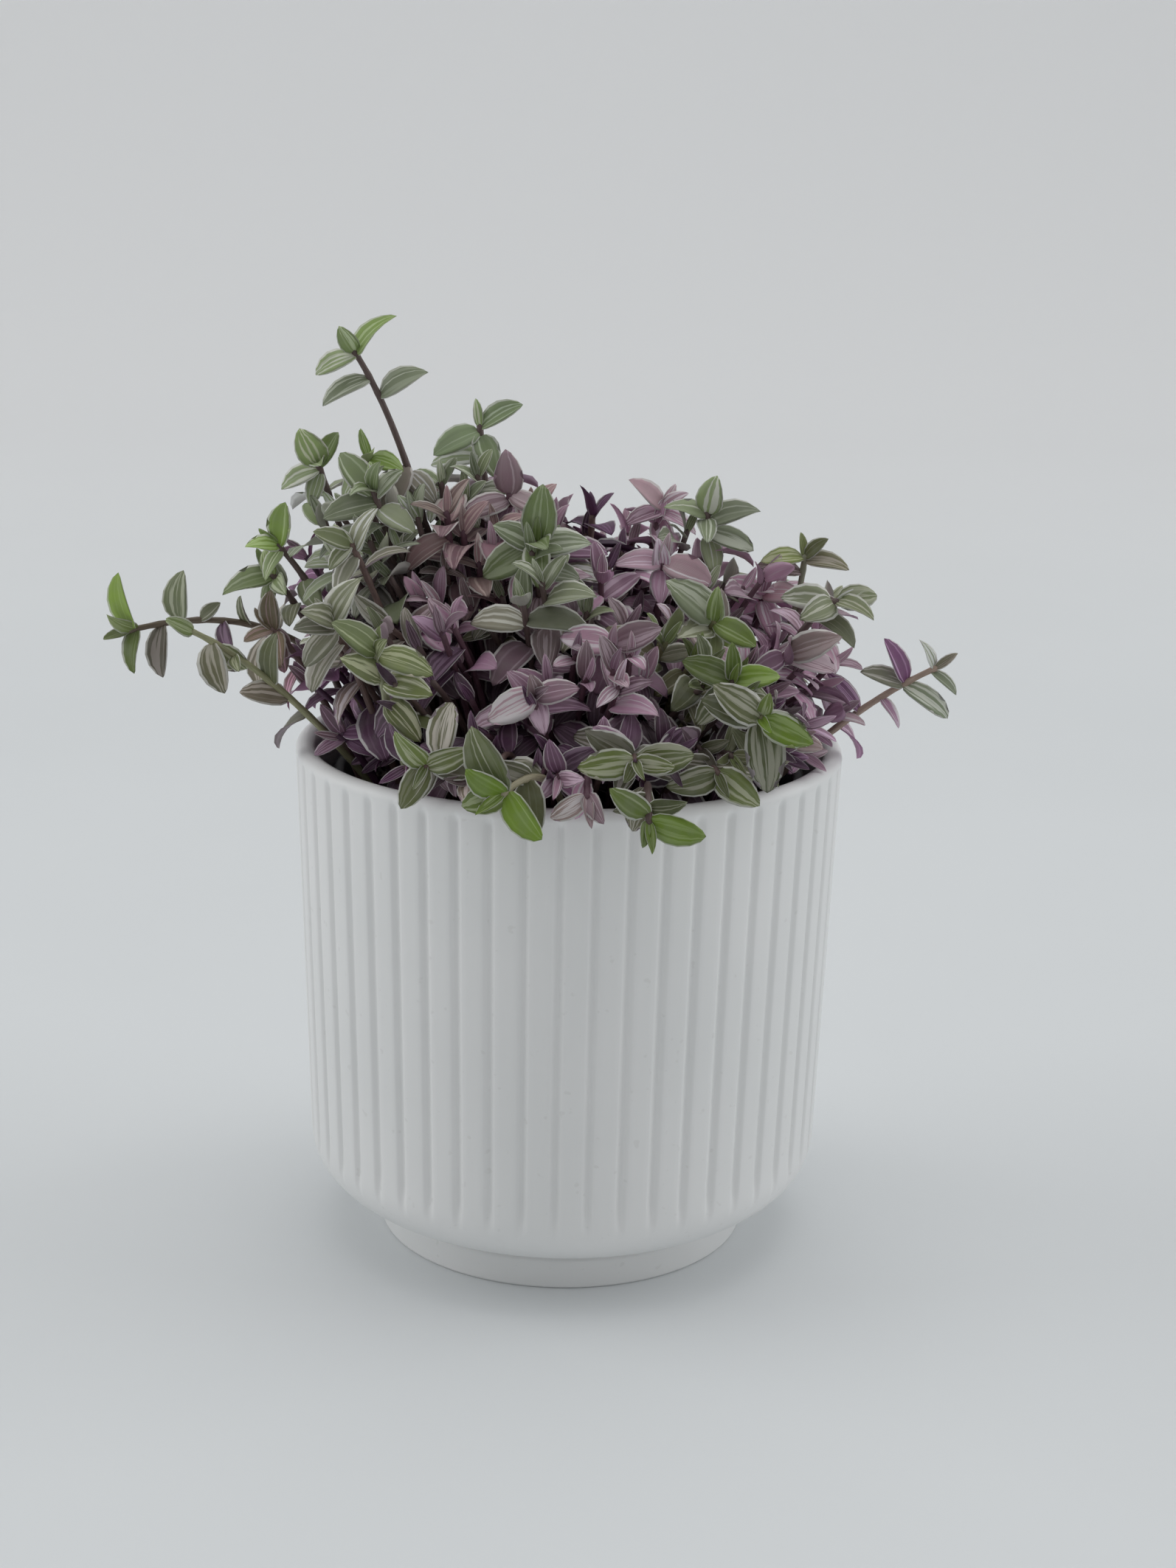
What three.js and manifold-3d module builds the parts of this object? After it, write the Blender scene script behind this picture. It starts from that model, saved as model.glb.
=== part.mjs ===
// Potted callisia: a bushy trailing plant in a black nursery pot, set in a white fluted ceramic pot.
// Millimetres, +Z up. The origin is the centre of the ceramic pot's flat underside, and -Y is the front.
import * as THREE from "three";
import { mergeVertices } from "three/addons/utils/BufferGeometryUtils.js";
import Module from "manifold-3d";

// Ceramic pot
const RIM_RADIUS = 70;
const POT_HEIGHT = 131.6;
const POT_WALL = 5;
const SIDE_TAPER = 0.03;
const BOWL_TOP = 26.5;
const BOWL_ROUND = 26;
const BOWL_DROP = 17.5;
const FOOT_RADIUS = 48.3;
const FOOT_HEIGHT = 8.2;
const FLOOR_THICKNESS = 12;
const FLOOR_ROUND = 21;
const FLUTES = 52;
const FLUTE_WIDTH = 4.2;
const FLUTE_DEPTH = 1.1;
const FLUTE_TOP = 128.4;
const FLUTE_FOOT = 30;
const FLUTE_PHASE = -1.5;

// Nursery pot and the root ball in it
const GAP = 0.3;
const NURSERY_BASE_RADIUS = 39;
const NURSERY_RIM_RADIUS = 60.5;
const NURSERY_TOP = 124;
const NURSERY_WALL = 1.2;
const NURSERY_FLOOR = 1.5;
const NURSERY_LIP = 4;
const DRAIN_HOLES = 4;
const SOIL_TOP = 118;
const SOIL_RISE = 1.5;
const ROOT_DEPTH = 6;

// Stems and leaves
const STEM_RADIUS = 1.1;
const HOLE_RADIUS = 1.75;
const STEM_SIDES = 4;
const STEM_SAG = 0.3;
const BLADE_THICKNESS = 0.7;
const LEAF_LENGTH = 15;
const FOOT_ROW = 0.27;
const BLADE_ROW = 0.6;
const ROOTING = 0.25;
const LEAF_GAP = 2.5;
const OWN_GAP = 1.9;
const STEM_GAP = 3.1;
const POT_GAP = 1.5;

const TONES = {
  green: 0x7f8f74,
  bright: 0x7c9a55,
  dusky: 0x7a6f6c,
  pink: 0x9c7f8b,
  purple: 0x5d4256,
};
const degrees = THREE.MathUtils.degToRad;
const point = (x, y, z) => new THREE.Vector3(x, y, z);

// Shoots that make the plant's outline. Each has its root on the soil [x, y], the point that its stem
// bends towards and its tip, then its own leaves: distance below the tip, direction seen from the
// front as a clock angle (0 right, 90 up), angle towards the viewer, length, and for some the width
// as a share of the length. more is how many plain leaves follow below them.
const SHOOTS = [
  {
    name: "tall_left",
    root: [-24, 4],
    bend: [-34, -6, 199],
    tip: [-55, 0, 229],
    tone: "green",
    more: 3,
    leaves: [
      [0, 115, 25, 8, 0.62],
      [1, 43, 10, 14.5],
      [2, 201, 10, 11.5],
      [12, 211, 10, 14],
      [19, 27, 5, 14],
      [42, 240, 20, 15],
      [44, 300, 30, 11],
    ],
  },
  {
    name: "tall_centre",
    root: [-13, 12],
    bend: [-20, 6, 170],
    tip: [-24, 8, 210],
    tone: "green",
    more: 3,
    leaves: [
      [0, 32, 5, 12.5],
      [1, 209, 10, 13.5],
      [2, 275, 35, 13],
      [9, 205, 5, 15.5],
    ],
  },
  {
    name: "upper_left",
    root: [-34, -1],
    bend: [-54, -2, 172],
    tip: [-64, 0, 201],
    tone: "green",
    more: 2,
    leaves: [
      [0, 112, 10, 10.5, 0.75],
      [0, 135, 50, 9.5],
      [1, 50, 5, 10],
      [2, 202, 10, 11],
      [3, 250, 35, 9],
    ],
  },
  {
    name: "upper_mid",
    root: [-20, -4],
    bend: [-46, -5, 178],
    tip: [-51, -3, 203],
    tone: "green",
    more: 1,
    leaves: [
      [0, 14, 8, 11.5],
      [1, 110, 25, 8],
      [3, 240, 5, 12],
      [8, 195, 40, 12],
    ],
  },
  {
    name: "left_centre",
    root: [-27, -11],
    bend: [-42, -15, 176],
    tip: [-49, -16, 197],
    tone: "green",
    more: 2,
    leaves: [
      [0, 80, 25, 9],
      [0, 160, 40, 9.5],
      [2, 128, -5, 14],
      [3, 50, 15, 10],
      [6, 196, 15, 14],
      [8, 330, 30, 12],
    ],
  },
  {
    name: "left_edge",
    root: [-40, -6],
    bend: [-58, -9, 166],
    tip: [-73, -11, 182],
    tone: "green",
    more: 2,
    leaves: [
      [0, 80, 10, 11.5, 0.6],
      [0, 158, 20, 9, 0.65],
      [2, 240, 25, 9],
      [16, 300, 35, 11],
    ],
  },
  {
    name: "left_edge_low",
    root: [-47, -6],
    bend: [-62, -6, 160],
    tip: [-75, -8, 174],
    tone: "green",
    more: 1,
    leaves: [
      [0, 195, 15, 13.5, 0.6],
      [0, 80, 30, 8],
      [1, 265, 20, 9],
      [2, 320, 35, 10],
      [7, 165, 30, 11],
    ],
  },
  {
    name: "left_hang",
    root: [-48, -15],
    bend: [-62, -15, 150],
    tip: [-74, -16, 162],
    tone: "dusky",
    more: 1,
    leaves: [
      [0, 94, 10, 10.5, 0.6],
      [0, 200, 20, 8],
      [1, 335, 25, 12],
      [4, 262, 35, 10],
      [9, 190, 0, 11],
    ],
  },
  {
    name: "left_front_top",
    root: [-26, -22],
    bend: [-46, -28, 172],
    tip: [-53, -31, 186],
    tone: "dusky",
    more: 3,
    leaves: [
      [0, 158, 15, 10],
      [0, 200, 40, 9],
      [3, 60, 10, 12],
      [6, 235, 25, 12],
    ],
  },
  {
    name: "left_trailing",
    root: [-43, 3],
    bend: [-57, -2, 173],
    tip: [-110.5, -10, 159.5],
    tone: "green",
    more: 2,
    leaves: [
      [0, 105, 10, 15.5],
      [1, 150, 25, 9],
      [1, 262, 15, 11.5],
      [7, 268, 10, 14],
      [11, 88, 10, 14],
      [16, 40, 10, 7],
      [22, 285, 25, 9],
      [29, 100, 30, 9],
    ],
  },
  {
    name: "left_low",
    root: [-42, -15],
    bend: [-68, -26, 152],
    tip: [-92, -30, 164],
    tone: "green",
    more: 1,
    leaves: [
      [0, 150, 30, 8],
      [7, 280, 12, 13, 0.6],
      [9, 315, -25, 11],
      [15, 240, 50, 7],
      [28, 107, 12, 14.5, 0.58],
      [34, 172, 12, 12.5],
    ],
  },
  {
    name: "front_left",
    root: [-33, -33],
    bend: [-44, -52, 150],
    tip: [-45, -54, 165],
    tone: "green",
    more: 1,
    leaves: [
      [0, 142, 15, 13.5],
      [1, 348, 15, 14],
      [2, 70, 40, 8],
      [11, 140, 25, 12.5],
      [12, 356, 20, 13],
      [19, 318, 25, 13],
    ],
  },
  {
    name: "left_hollow",
    root: [-38, -20],
    bend: [-52, -33, 158],
    tip: [-57, -40, 169],
    tone: "dusky",
    more: 2,
    leaves: [
      [0, 62, 15, 14],
      [0, 42, 45, 13],
      [3, 150, 30, 12],
      [5, 230, 25, 12],
    ],
  },
  {
    name: "crown",
    root: [-4, -12],
    bend: [-8, -19, 172],
    tip: [-9, -28, 187],
    tone: "green",
    more: 3,
    leaves: [
      [0, 81, 5, 14.5, 0.6],
      [0, 45, 55, 12],
      [1, 272, 38, 12.5],
      [2, 225, 15, 15, 0.6],
      [3, 150, 10, 12],
      [4, 12, 10, 14],
    ],
  },
  {
    name: "crown_hood",
    root: [-9, 0],
    bend: [-15, -6, 176],
    tip: [-16, -10, 196],
    tone: "pink",
    more: 4,
    leaves: [
      [0, 92, 15, 12, 0.6],
      [1, 330, 10, 11],
      [3, 200, 20, 13],
      [6, 250, 40, 13],
    ],
  },
  {
    name: "top_right",
    root: [12, 8],
    bend: [19, 14, 174],
    tip: [23, 16, 189],
    tone: "pink",
    more: 3,
    leaves: [
      [0, 140, 15, 12],
      [0, 35, 10, 8],
      [2, 200, 30, 11],
      [3, 330, 25, 11],
      [6, 270, 30, 12],
    ],
  },
  {
    name: "upper_right",
    root: [23, 3],
    bend: [35, 7, 172],
    tip: [34, 9, 189],
    tone: "green",
    more: 2,
    leaves: [
      [0, 78, 10, 10.5, 0.7],
      [1, 165, 15, 12],
      [5, 15, 10, 14.5],
      [3, 190, 35, 12],
      [9, 340, 15, 13],
      [11, 300, 25, 11],
    ],
  },
  {
    name: "right_pink",
    root: [17, -10],
    bend: [22, -10, 168],
    tip: [22, -14, 180],
    tone: "pink",
    more: 3,
    leaves: [
      [0, 178, 5, 12, 0.58],
      [0, 338, 5, 13.5, 0.58],
      [4, 262, 40, 10],
      [5, 100, 10, 9],
    ],
  },
  {
    name: "right_mauve",
    root: [38, 13],
    bend: [46, 10, 155],
    tip: [49, 6, 169],
    tone: "pink",
    more: 2,
    leaves: [
      [0, 20, 25, 11, 0.6],
      [0, 160, 20, 11, 0.6],
      [1, 95, 35, 9],
      [3, 300, 25, 12],
      [4, 225, 25, 11],
    ],
  },
  {
    name: "right_sprig",
    root: [36, 2],
    bend: [57, 2, 152],
    tip: [59, 5, 179],
    tone: "dusky",
    more: 2,
    leaves: [
      [0, 43, 15, 8],
      [0, 168, 5, 12, 0.44],
      [1, 356, 10, 12, 0.44],
      [5, 178, 15, 12, 0.46],
      [17, 20, 25, 12],
      [21, 215, 35, 11],
    ],
  },
  {
    name: "right_edge",
    root: [39, -9],
    bend: [52, -12, 165],
    tip: [66, -13, 171],
    tone: "green",
    more: 2,
    leaves: [
      [0, 12, -15, 11, 0.6],
      [0, 338, 30, 11, 0.6],
      [2, 198, 45, 13],
      [3, 170, 0, 13],
      [12, 340, 30, 13],
    ],
  },
  {
    name: "right_trailing",
    root: [42, -9],
    bend: [66, -16, 143],
    tip: [90.5, -18, 155.5],
    tone: "dusky",
    more: 1,
    leaves: [
      [0, 118, 5, 8.5, 0.42],
      [1, 322, 5, 9, 0.42],
      [9, 118, 5, 13, 0.42],
      [10, 327, 8, 14.5, 0.42],
      [10, 164, 15, 12, 0.5],
      [17, 300, 20, 9, 0.42],
      [24, 124, 10, 12.5, 0.46],
    ],
  },
  {
    name: "right_low",
    root: [34, -22],
    bend: [47, -32, 136],
    tip: [54, -36, 141],
    tone: "pink",
    more: 1,
    leaves: [
      [0, 125, 25, 11, 0.7],
      [0, 350, 20, 8, 0.65],
      [1, 20, 10, 8],
      [3, 210, 35, 10],
    ],
  },
  {
    name: "right_purple",
    root: [38, -17],
    bend: [47, -23, 157],
    tip: [53, -25, 160],
    tone: "pink",
    more: 2,
    leaves: [
      [0, 21, 10, 14.5],
      [1, 350, 15, 13],
      [5, 24, 20, 13],
      [3, 205, 25, 10],
      [9, 90, 20, 10],
    ],
  },
  {
    name: "right_face",
    root: [23, -19],
    bend: [32, -25, 160],
    tip: [34, -35, 170],
    tone: "bright",
    more: 2,
    leaves: [
      [0, 135, 10, 16],
      [0, 82, 30, 11, 0.45],
      [1, 333, 15, 12],
      [6, 132, 30, 14],
      [5, 265, 30, 12],
      [9, 55, 10, 12],
    ],
  },
  {
    name: "right_face_low",
    root: [29, -28],
    bend: [36, -41, 152],
    tip: [38, -51, 159],
    tone: "green",
    more: 2,
    leaves: [
      [0, 97, 15, 10, 0.45],
      [0, 48, 10, 13],
      [1, 152, 20, 13.5],
      [3, 330, 20, 11],
      [5, 230, 30, 13],
    ],
  },
  {
    name: "front_right",
    root: [37, -31],
    bend: [42, -50, 152],
    tip: [44, -64, 153],
    tone: "bright",
    more: 1,
    leaves: [
      [0, 145, 10, 14.5],
      [0, 336, 15, 13.5],
      [1, 75, 20, 7],
      [3, 172, 15, 15],
      [4, 280, 10, 18],
      [8, 325, 25, 13],
    ],
  },
  {
    name: "front_centre",
    root: [9, -34],
    bend: [13, -54, 147],
    tip: [15, -71, 144],
    tone: "dusky",
    more: 2,
    leaves: [
      [0, 185, 5, 13.5],
      [0, 328, 30, 10.5],
      [1, 5, 10, 14],
      [1, 228, 30, 6],
      [5, 164, 10, 13],
      [8, 243, 25, 10],
    ],
  },
  {
    name: "front_low_left",
    root: [1, -40],
    bend: [-2, -70, 149],
    tip: [-15, -79, 138],
    tone: "bright",
    more: 1,
    leaves: [
      [0, 113, 5, 17.5],
      [0, 140, 25, 12],
      [1, 304, 10, 14],
      [2, 198, 15, 11.5, 0.7],
      [12, 281, 15, 14],
      [14, 160, 15, 10],
    ],
  },
  {
    name: "front_low_right",
    root: [21, -38],
    bend: [17, -66, 150],
    tip: [18, -83, 133],
    tone: "green",
    more: 1,
    leaves: [
      [0, 350, 15, 13.5],
      [0, 255, 30, 6.5],
      [2, 140, 15, 11.5],
      [5, 8, 10, 9],
      [10, 200, 20, 9],
    ],
  },
  {
    name: "front_left_low",
    root: [-18, -37],
    bend: [-29, -56, 148],
    tip: [-33, -68, 141],
    tone: "dusky",
    more: 2,
    leaves: [
      [0, 30, 15, 12],
      [0, 125, 20, 12],
      [1, 236, 15, 12],
      [4, 350, 25, 11],
      [6, 285, 20, 11],
    ],
  },
  {
    name: "front_pink",
    root: [-9, -28],
    bend: [-10, -45, 152],
    tip: [-8, -57, 156],
    tone: "pink",
    more: 3,
    leaves: [
      [0, 205, 5, 13, 0.58],
      [0, 100, 40, 8, 0.6],
      [3, 18, 10, 11],
      [5, 245, 45, 11],
      [8, 160, 30, 11, 0.6],
    ],
  },
  {
    name: "middle_pink",
    root: [7, -24],
    bend: [9, -37, 160],
    tip: [10, -45, 166],
    tone: "pink",
    more: 3,
    leaves: [
      [0, 18, 5, 12, 0.62],
      [1, 176, 0, 13, 0.6],
      [3, 232, 35, 13],
      [6, 255, 0, 12, 0.6],
      [9, 200, -15, 11],
    ],
  },
  {
    name: "left_rim",
    root: [-41, -20],
    bend: [-50, -24, 130],
    tip: [-56, -28, 139],
    tone: "purple",
    more: 0,
    leaves: [
      [0, 125, 15, 10, 0.4],
      [0, 20, 20, 10, 0.4],
      [2, 208, 10, 9, 0.4],
      [3, 320, 35, 9, 0.4],
      [6, 75, 35, 9, 0.4],
      [7, 250, 20, 8, 0.4],
    ],
  },
  {
    name: "rim_middle",
    root: [6, -34],
    bend: [4, -58, 148],
    tip: [4, -75.5, 136.5],
    tone: "pink",
    more: 0,
    leaves: [
      [0, 183, 5, 11],
      [1, 300, 30, 9],
      [6, 60, 40, 10],
      [8, 190, 30, 11],
    ],
  },
  {
    name: "rim_right",
    root: [24, -36],
    bend: [31, -50, 144],
    tip: [34.5, -62, 139],
    tone: "dusky",
    more: 0,
    leaves: [
      [0, 195, 5, 13],
      [1, 322, 25, 13, 0.6],
      [5, 345, -10, 11],
      [8, 160, 35, 10],
    ],
  },
];

// Shoots that fill the middle, the back and the far sides: name, angle about the pot's axis,
// distance from it and height of the tip, and tone.
const FILL_RINGS = [
  { name: "back", reach: 73, height: 150, spread: 31, from: 32, count: 5, tone: "green" },
  { name: "shoulder", reach: 53, height: 170, spread: 36, from: 48, count: 4, tone: "dusky" },
  { name: "heart", reach: 27, height: 176, spread: 60, from: 62, count: 2, tone: "pink" },
  { name: "core", reach: 6, height: 186, spread: 0, from: -10, count: 1, tone: "dusky" },
  { name: "side", reach: 66, height: 150, spread: 0, from: 168, count: 1, tone: "purple" },
  { name: "inner", reach: 34, height: 147, spread: 47, from: 349, count: 2, tone: "purple" },
  { name: "flank", reach: 42, height: 170, spread: 0, from: 222, count: 1, tone: "pink" },
];

// A small generator of even draws in 0..1, so that the plant grows the same way each time.
function drawFrom(seed) {
  let state = seed >>> 0;
  return () => {
    state = (Math.imul(state, 1664525) + 1013904223) >>> 0;
    return state / 4294967296;
  };
}

function fillShoots() {
  const draw = drawFrom(11);
  const shoots = [];
  for (const ring of FILL_RINGS) {
    for (let k = 0; k < ring.count; k += 1) {
      const turn = degrees(ring.from + ring.spread * k + 10 * (draw() - 0.5));
      const reach = ring.reach + 8 * (draw() - 0.5);
      const height = ring.height + 12 * (draw() - 0.5);
      const x = Math.cos(turn);
      const y = Math.sin(turn);
      const rise = 5 + 0.18 * (height - SOIL_TOP);
      shoots.push({
        name: ring.name + "_" + (k + 1),
        root: [0.56 * reach * x, 0.56 * reach * y],
        bend: [0.74 * reach * x, 0.74 * reach * y, height - rise],
        tip: [reach * x, reach * y, height],
        tone: ring.tone,
        more: 5,
        leaves: [],
      });
    }
  }
  return shoots;
}

// A stem is a plain curve from its root in the soil, by way of the bend, to its tip.
function stemCurve(shoot) {
  const root = point(shoot.root[0], shoot.root[1], SOIL_TOP - ROOT_DEPTH);
  return new THREE.QuadraticBezierCurve3(root, point(...shoot.bend), point(...shoot.tip));
}

function chordLength(curve) {
  let total = 0;
  for (let k = 0; k < 16; k += 1) {
    total += curve.getPoint(k / 16).distanceTo(curve.getPoint((k + 1) / 16));
  }
  return total;
}

// How many straight lengths keep a stem within STEM_SAG of its true curve.
function stemSteps(curve) {
  const turning = curve.v0.clone().addScaledVector(curve.v1, -2).add(curve.v2).length();
  return Math.max(3, Math.ceil(Math.sqrt(turning / (4 * STEM_SAG))));
}

function acrossOf(vector, axis) {
  return vector.clone().addScaledVector(axis, -vector.dot(axis)).normalize();
}

// One leaf: base, direction d, upper side n, length, width share, curl along it and fold across it.
function makeLeaf(base, d, n, length, share, curl, fold) {
  return { base, d, n, w: d.clone().cross(n), length, share, curl, fold };
}

// The half width at u, from 0 at the base to 0 at the tip, widest at two fifths.
const halfWidth = (leaf, u) => 1.245 * leaf.share * leaf.length * u ** 0.55 * (1 - u) ** 0.8;

// The point at u along the leaf and v across it (-1 to 1), lifted by lift along the upper side.
function leafPoint(leaf, u, v, lift) {
  const bend = leaf.curl * u;
  const along = (leaf.length * Math.sin(bend)) / leaf.curl;
  const drop = (leaf.length * (1 - Math.cos(bend))) / leaf.curl;
  const half = v * halfWidth(leaf, u);
  const raise = Math.abs(half) * Math.sin(leaf.fold) + lift;
  return leaf.base
    .clone()
    .addScaledVector(leaf.d, along + raise * Math.sin(bend))
    .addScaledVector(leaf.n, raise * Math.cos(bend) - drop)
    .addScaledVector(leaf.w, half * Math.cos(leaf.fold));
}

// Every leaf that a shoot would like to have, before any is bent clear of its neighbours. A listed leaf
// starts half its curl above its direction, so that its tip lies in that direction from its base.
function wantedLeaves(shoot, curve, seed) {
  const draw = drawFrom(seed);
  const length = chordLength(curve);
  const wanted = [];
  let last = 0;
  for (const [down, clock, toward, size, share = 0.54] of shoot.leaves) {
    const t = 1 - (down + 0.8) / length;
    const stem = curve.getTangent(t);
    const c = degrees(clock);
    const o = degrees(toward);
    const chord = point(Math.cos(o) * Math.cos(c), -Math.sin(o), Math.cos(o) * Math.sin(c));
    const facing = stem.clone().multiplyScalar(0.6).add(point(0, -0.77, 0.21));
    const curl = 0.35 + 0.5 * draw();
    const lift = acrossOf(facing, chord).multiplyScalar(Math.sin(curl / 2));
    const d = chord.multiplyScalar(Math.cos(curl / 2)).add(lift);
    wanted.push({ t, d, facing, size, share, curl, fold: 0.2 + 0.2 * draw() });
    last = Math.max(last, down);
  }
  const start = shoot.leaves.length ? 2 : 0;
  const phase = 6.28 * draw();
  for (let k = 0; k < shoot.more; k += 1) {
    const pair = Math.floor(k / 2);
    const age = pair + start;
    const down = (last ? last + 7 : 0) + 3.5 * pair + 1.7 * pair * pair + 1.6 * (k % 2);
    const t = 1 - (down + 0.8) / length;
    const turn = phase + Math.PI * k + 0.5 * Math.PI * pair + 0.5 * (draw() - 0.5);
    const open = degrees(86 - 58 * 0.45 ** age) + 0.25 * (draw() - 0.5);
    const size = LEAF_LENGTH * (1 - 0.4 * 0.4 ** age) * (0.88 + 0.28 * draw());
    const share = 0.55 - 0.1 * 0.3 ** age;
    const curl = 0.3 + 0.5 * (1 - 0.4 ** age) + 0.3 * draw();
    const fold = 0.2 + 0.2 * draw();
    if (t < 0.28) continue;
    const stem = curve.getTangent(t);
    const side = acrossOf(Math.abs(stem.z) > 0.8 ? point(1, 0, 0) : point(0, 0, 1), stem);
    const other = stem.clone().cross(side);
    const d = stem
      .clone()
      .multiplyScalar(Math.cos(open))
      .addScaledVector(side, Math.sin(open) * Math.cos(turn))
      .addScaledVector(other, Math.sin(open) * Math.sin(turn));
    const facing = stem.clone().add(point(0, 0, 0.45));
    wanted.push({ t, d, facing, size, share, curl, fold });
  }
  return wanted;
}

// The places where a leaf is felt for its neighbours: seven rows of four along the blade, and its tip.
function feelers(leaf) {
  const places = [];
  for (let row = 1; row <= 7; row += 1) {
    for (const v of [-0.85, -0.28, 0.28, 0.85]) places.push(leafPoint(leaf, 0.02 + 0.125 * row, v, 0));
  }
  places.push(leafPoint(leaf, 1, 0, 0));
  return places;
}

// Whether a place keeps clear of both pots and of the soil by a margin.
function clearOfPots(place, margin) {
  const r = Math.hypot(place.x, place.y);
  if (place.z > POT_HEIGHT + margin) return true;
  if (r > RIM_RADIUS + margin) return place.z > 1;
  return r < NURSERY_RIM_RADIUS - 3 - margin && place.z > SOIL_TOP + SOIL_RISE + margin;
}

// The turns, tilts and shortenings that a leaf may take to lie clear of other shoots, mildest first.
const TRIES = [
  [0, 0, 1],
  [14, 0, 1],
  [-14, 0, 1],
  [0, 14, 1],
  [0, -14, 1],
  [28, 0, 0.9],
  [-28, 0, 0.9],
  [0, 28, 0.9],
  [0, -28, 0.9],
  [45, 12, 0.85],
  [-45, 12, 0.85],
  [0, 0, 0.7],
  [70, 0, 0.75],
  [-70, 0, 0.75],
];

// Grows every shoot's leaves in turn, each one bent clear of all that stands on other shoots.
function growLeaves(shoots, curves) {
  const stemPlaces = curves.map((curve) => {
    const count = Math.ceil(chordLength(curve) / 1.6);
    return Array.from({ length: count + 1 }, (_, k) => curve.getPoint(k / count));
  });
  const grown = shoots.map(() => []);
  const taken = [];
  const isClear = (places, own) =>
    places.every((a, index) => {
      const inner = index < 8;
      if (!clearOfPots(a, index < 4 ? 0.8 : POT_GAP)) return false;
      for (let j = 0; j < stemPlaces.length; j += 1) {
        if (j !== own && stemPlaces[j].some((b) => a.distanceToSquared(b) < STEM_GAP ** 2)) return false;
      }
      return taken.every((other) => {
        if (a.distanceToSquared(other.middle) > 400) return true;
        if (other.own !== own) return other.places.every((b) => a.distanceToSquared(b) >= LEAF_GAP ** 2);
        return inner || other.places.slice(8).every((b) => a.distanceToSquared(b) >= OWN_GAP ** 2);
      });
    });
  shoots.forEach((shoot, own) => {
    for (const want of wantedLeaves(shoot, curves[own], 101 + 17 * own)) {
      const sideways = acrossOf(want.d, curves[own].getTangent(want.t));
      const base = curves[own].getPoint(want.t).addScaledVector(sideways, ROOTING);
      const n = acrossOf(want.facing, want.d);
      const w = want.d.clone().cross(n);
      for (const [turn, tilt, scale] of TRIES) {
        const d = want.d.clone().applyAxisAngle(n, degrees(turn)).applyAxisAngle(w, degrees(tilt));
        const upper = acrossOf(want.facing, d);
        const leaf = makeLeaf(base, d, upper, want.size * scale, want.share, want.curl, want.fold);
        const places = feelers(leaf);
        if (isClear(places, own)) {
          grown[own].push(leaf);
          taken.push({ own, places, middle: leafPoint(leaf, 0.5, 0, 0) });
          break;
        }
      }
    }
  });
  return grown;
}

const wasm = await Module();
wasm.setup();

function toSolid(geometry) {
  const bare = geometry.clone();
  bare.deleteAttribute("normal");
  bare.deleteAttribute("uv");
  const merged = mergeVertices(bare, 1e-4);
  const vertProperties = new Float32Array(merged.attributes.position.array);
  const triVerts = new Uint32Array(merged.index.array);
  return new wasm.Manifold(new wasm.Mesh({ numProp: 3, vertProperties, triVerts }));
}

function toGeometry(solid) {
  const mesh = solid.getMesh();
  const geometry = new THREE.BufferGeometry();
  geometry.setAttribute("position", new THREE.BufferAttribute(mesh.vertProperties, 3));
  geometry.setIndex(new THREE.BufferAttribute(mesh.triVerts, 1));
  geometry.computeVertexNormals();
  return geometry;
}

// Turns a profile of [radius, height] points, listed from the bottom up the outside, about +Z.
function turned(profile, sides, start) {
  const outline = profile.map(([r, z]) => new THREE.Vector2(r, z));
  return new THREE.LatheGeometry(outline, sides, start).rotateX(Math.PI / 2);
}

// The leaf as a thin closed blade: a plain wedge at the foot, then a blade folded along its midrib,
// with both faces split alike.
function leafGeometry(leaf) {
  const half = BLADE_THICKNESS / 2;
  const places = [leafPoint(leaf, 0, 0, 0), leafPoint(leaf, 1, 0, 0)];
  for (const lift of [half, -half]) {
    places.push(leafPoint(leaf, FOOT_ROW, -1, lift), leafPoint(leaf, FOOT_ROW, 1, lift));
    for (const v of [-1, 0, 1]) places.push(leafPoint(leaf, BLADE_ROW, v, lift));
  }
  const [base, tip] = [0, 1];
  const faces = [];
  const add = (flip, ...list) => {
    for (const [a, b, c] of list) faces.push(...(flip ? [a, c, b] : [a, b, c]));
  };
  for (const [first, flip] of [[2, false], [7, true]]) {
    const [left, right, farLeft, rib, farRight] = [0, 1, 2, 3, 4].map((k) => first + k);
    add(flip, [base, right, left], [left, right, rib], [left, rib, farLeft]);
    add(flip, [right, farRight, rib], [farLeft, rib, tip], [rib, farRight, tip]);
  }
  for (const [near, far, flip] of [[2, 4, false], [3, 6, true]]) {
    add(flip, [base, near, near + 5], [near, far, far + 5], [near, far + 5, near + 5]);
    add(flip, [far, tip, far + 5]);
  }
  const geometry = new THREE.BufferGeometry().setFromPoints(places);
  geometry.setIndex(faces);
  return geometry;
}

// A straight-sided tube of square section along a curve, closed at both ends.
function tube(curve, radius, steps) {
  const section = new THREE.Shape();
  for (let k = 0; k < STEM_SIDES; k += 1) {
    const turn = (2 * Math.PI * k) / STEM_SIDES;
    const corner = [radius * Math.cos(turn), radius * Math.sin(turn)];
    if (k) section.lineTo(...corner);
    else section.moveTo(...corner);
  }
  return new THREE.ExtrudeGeometry(section, { steps, extrudePath: curve, bevelEnabled: false });
}

const part = new THREE.Group();
part.name = "potted_callisia";

function addPart(name, geometry, colour, roughness) {
  const material = new THREE.MeshStandardMaterial({ color: colour, roughness, metalness: 0 });
  const mesh = new THREE.Mesh(geometry, material);
  mesh.name = name;
  part.add(mesh);
}

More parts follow.
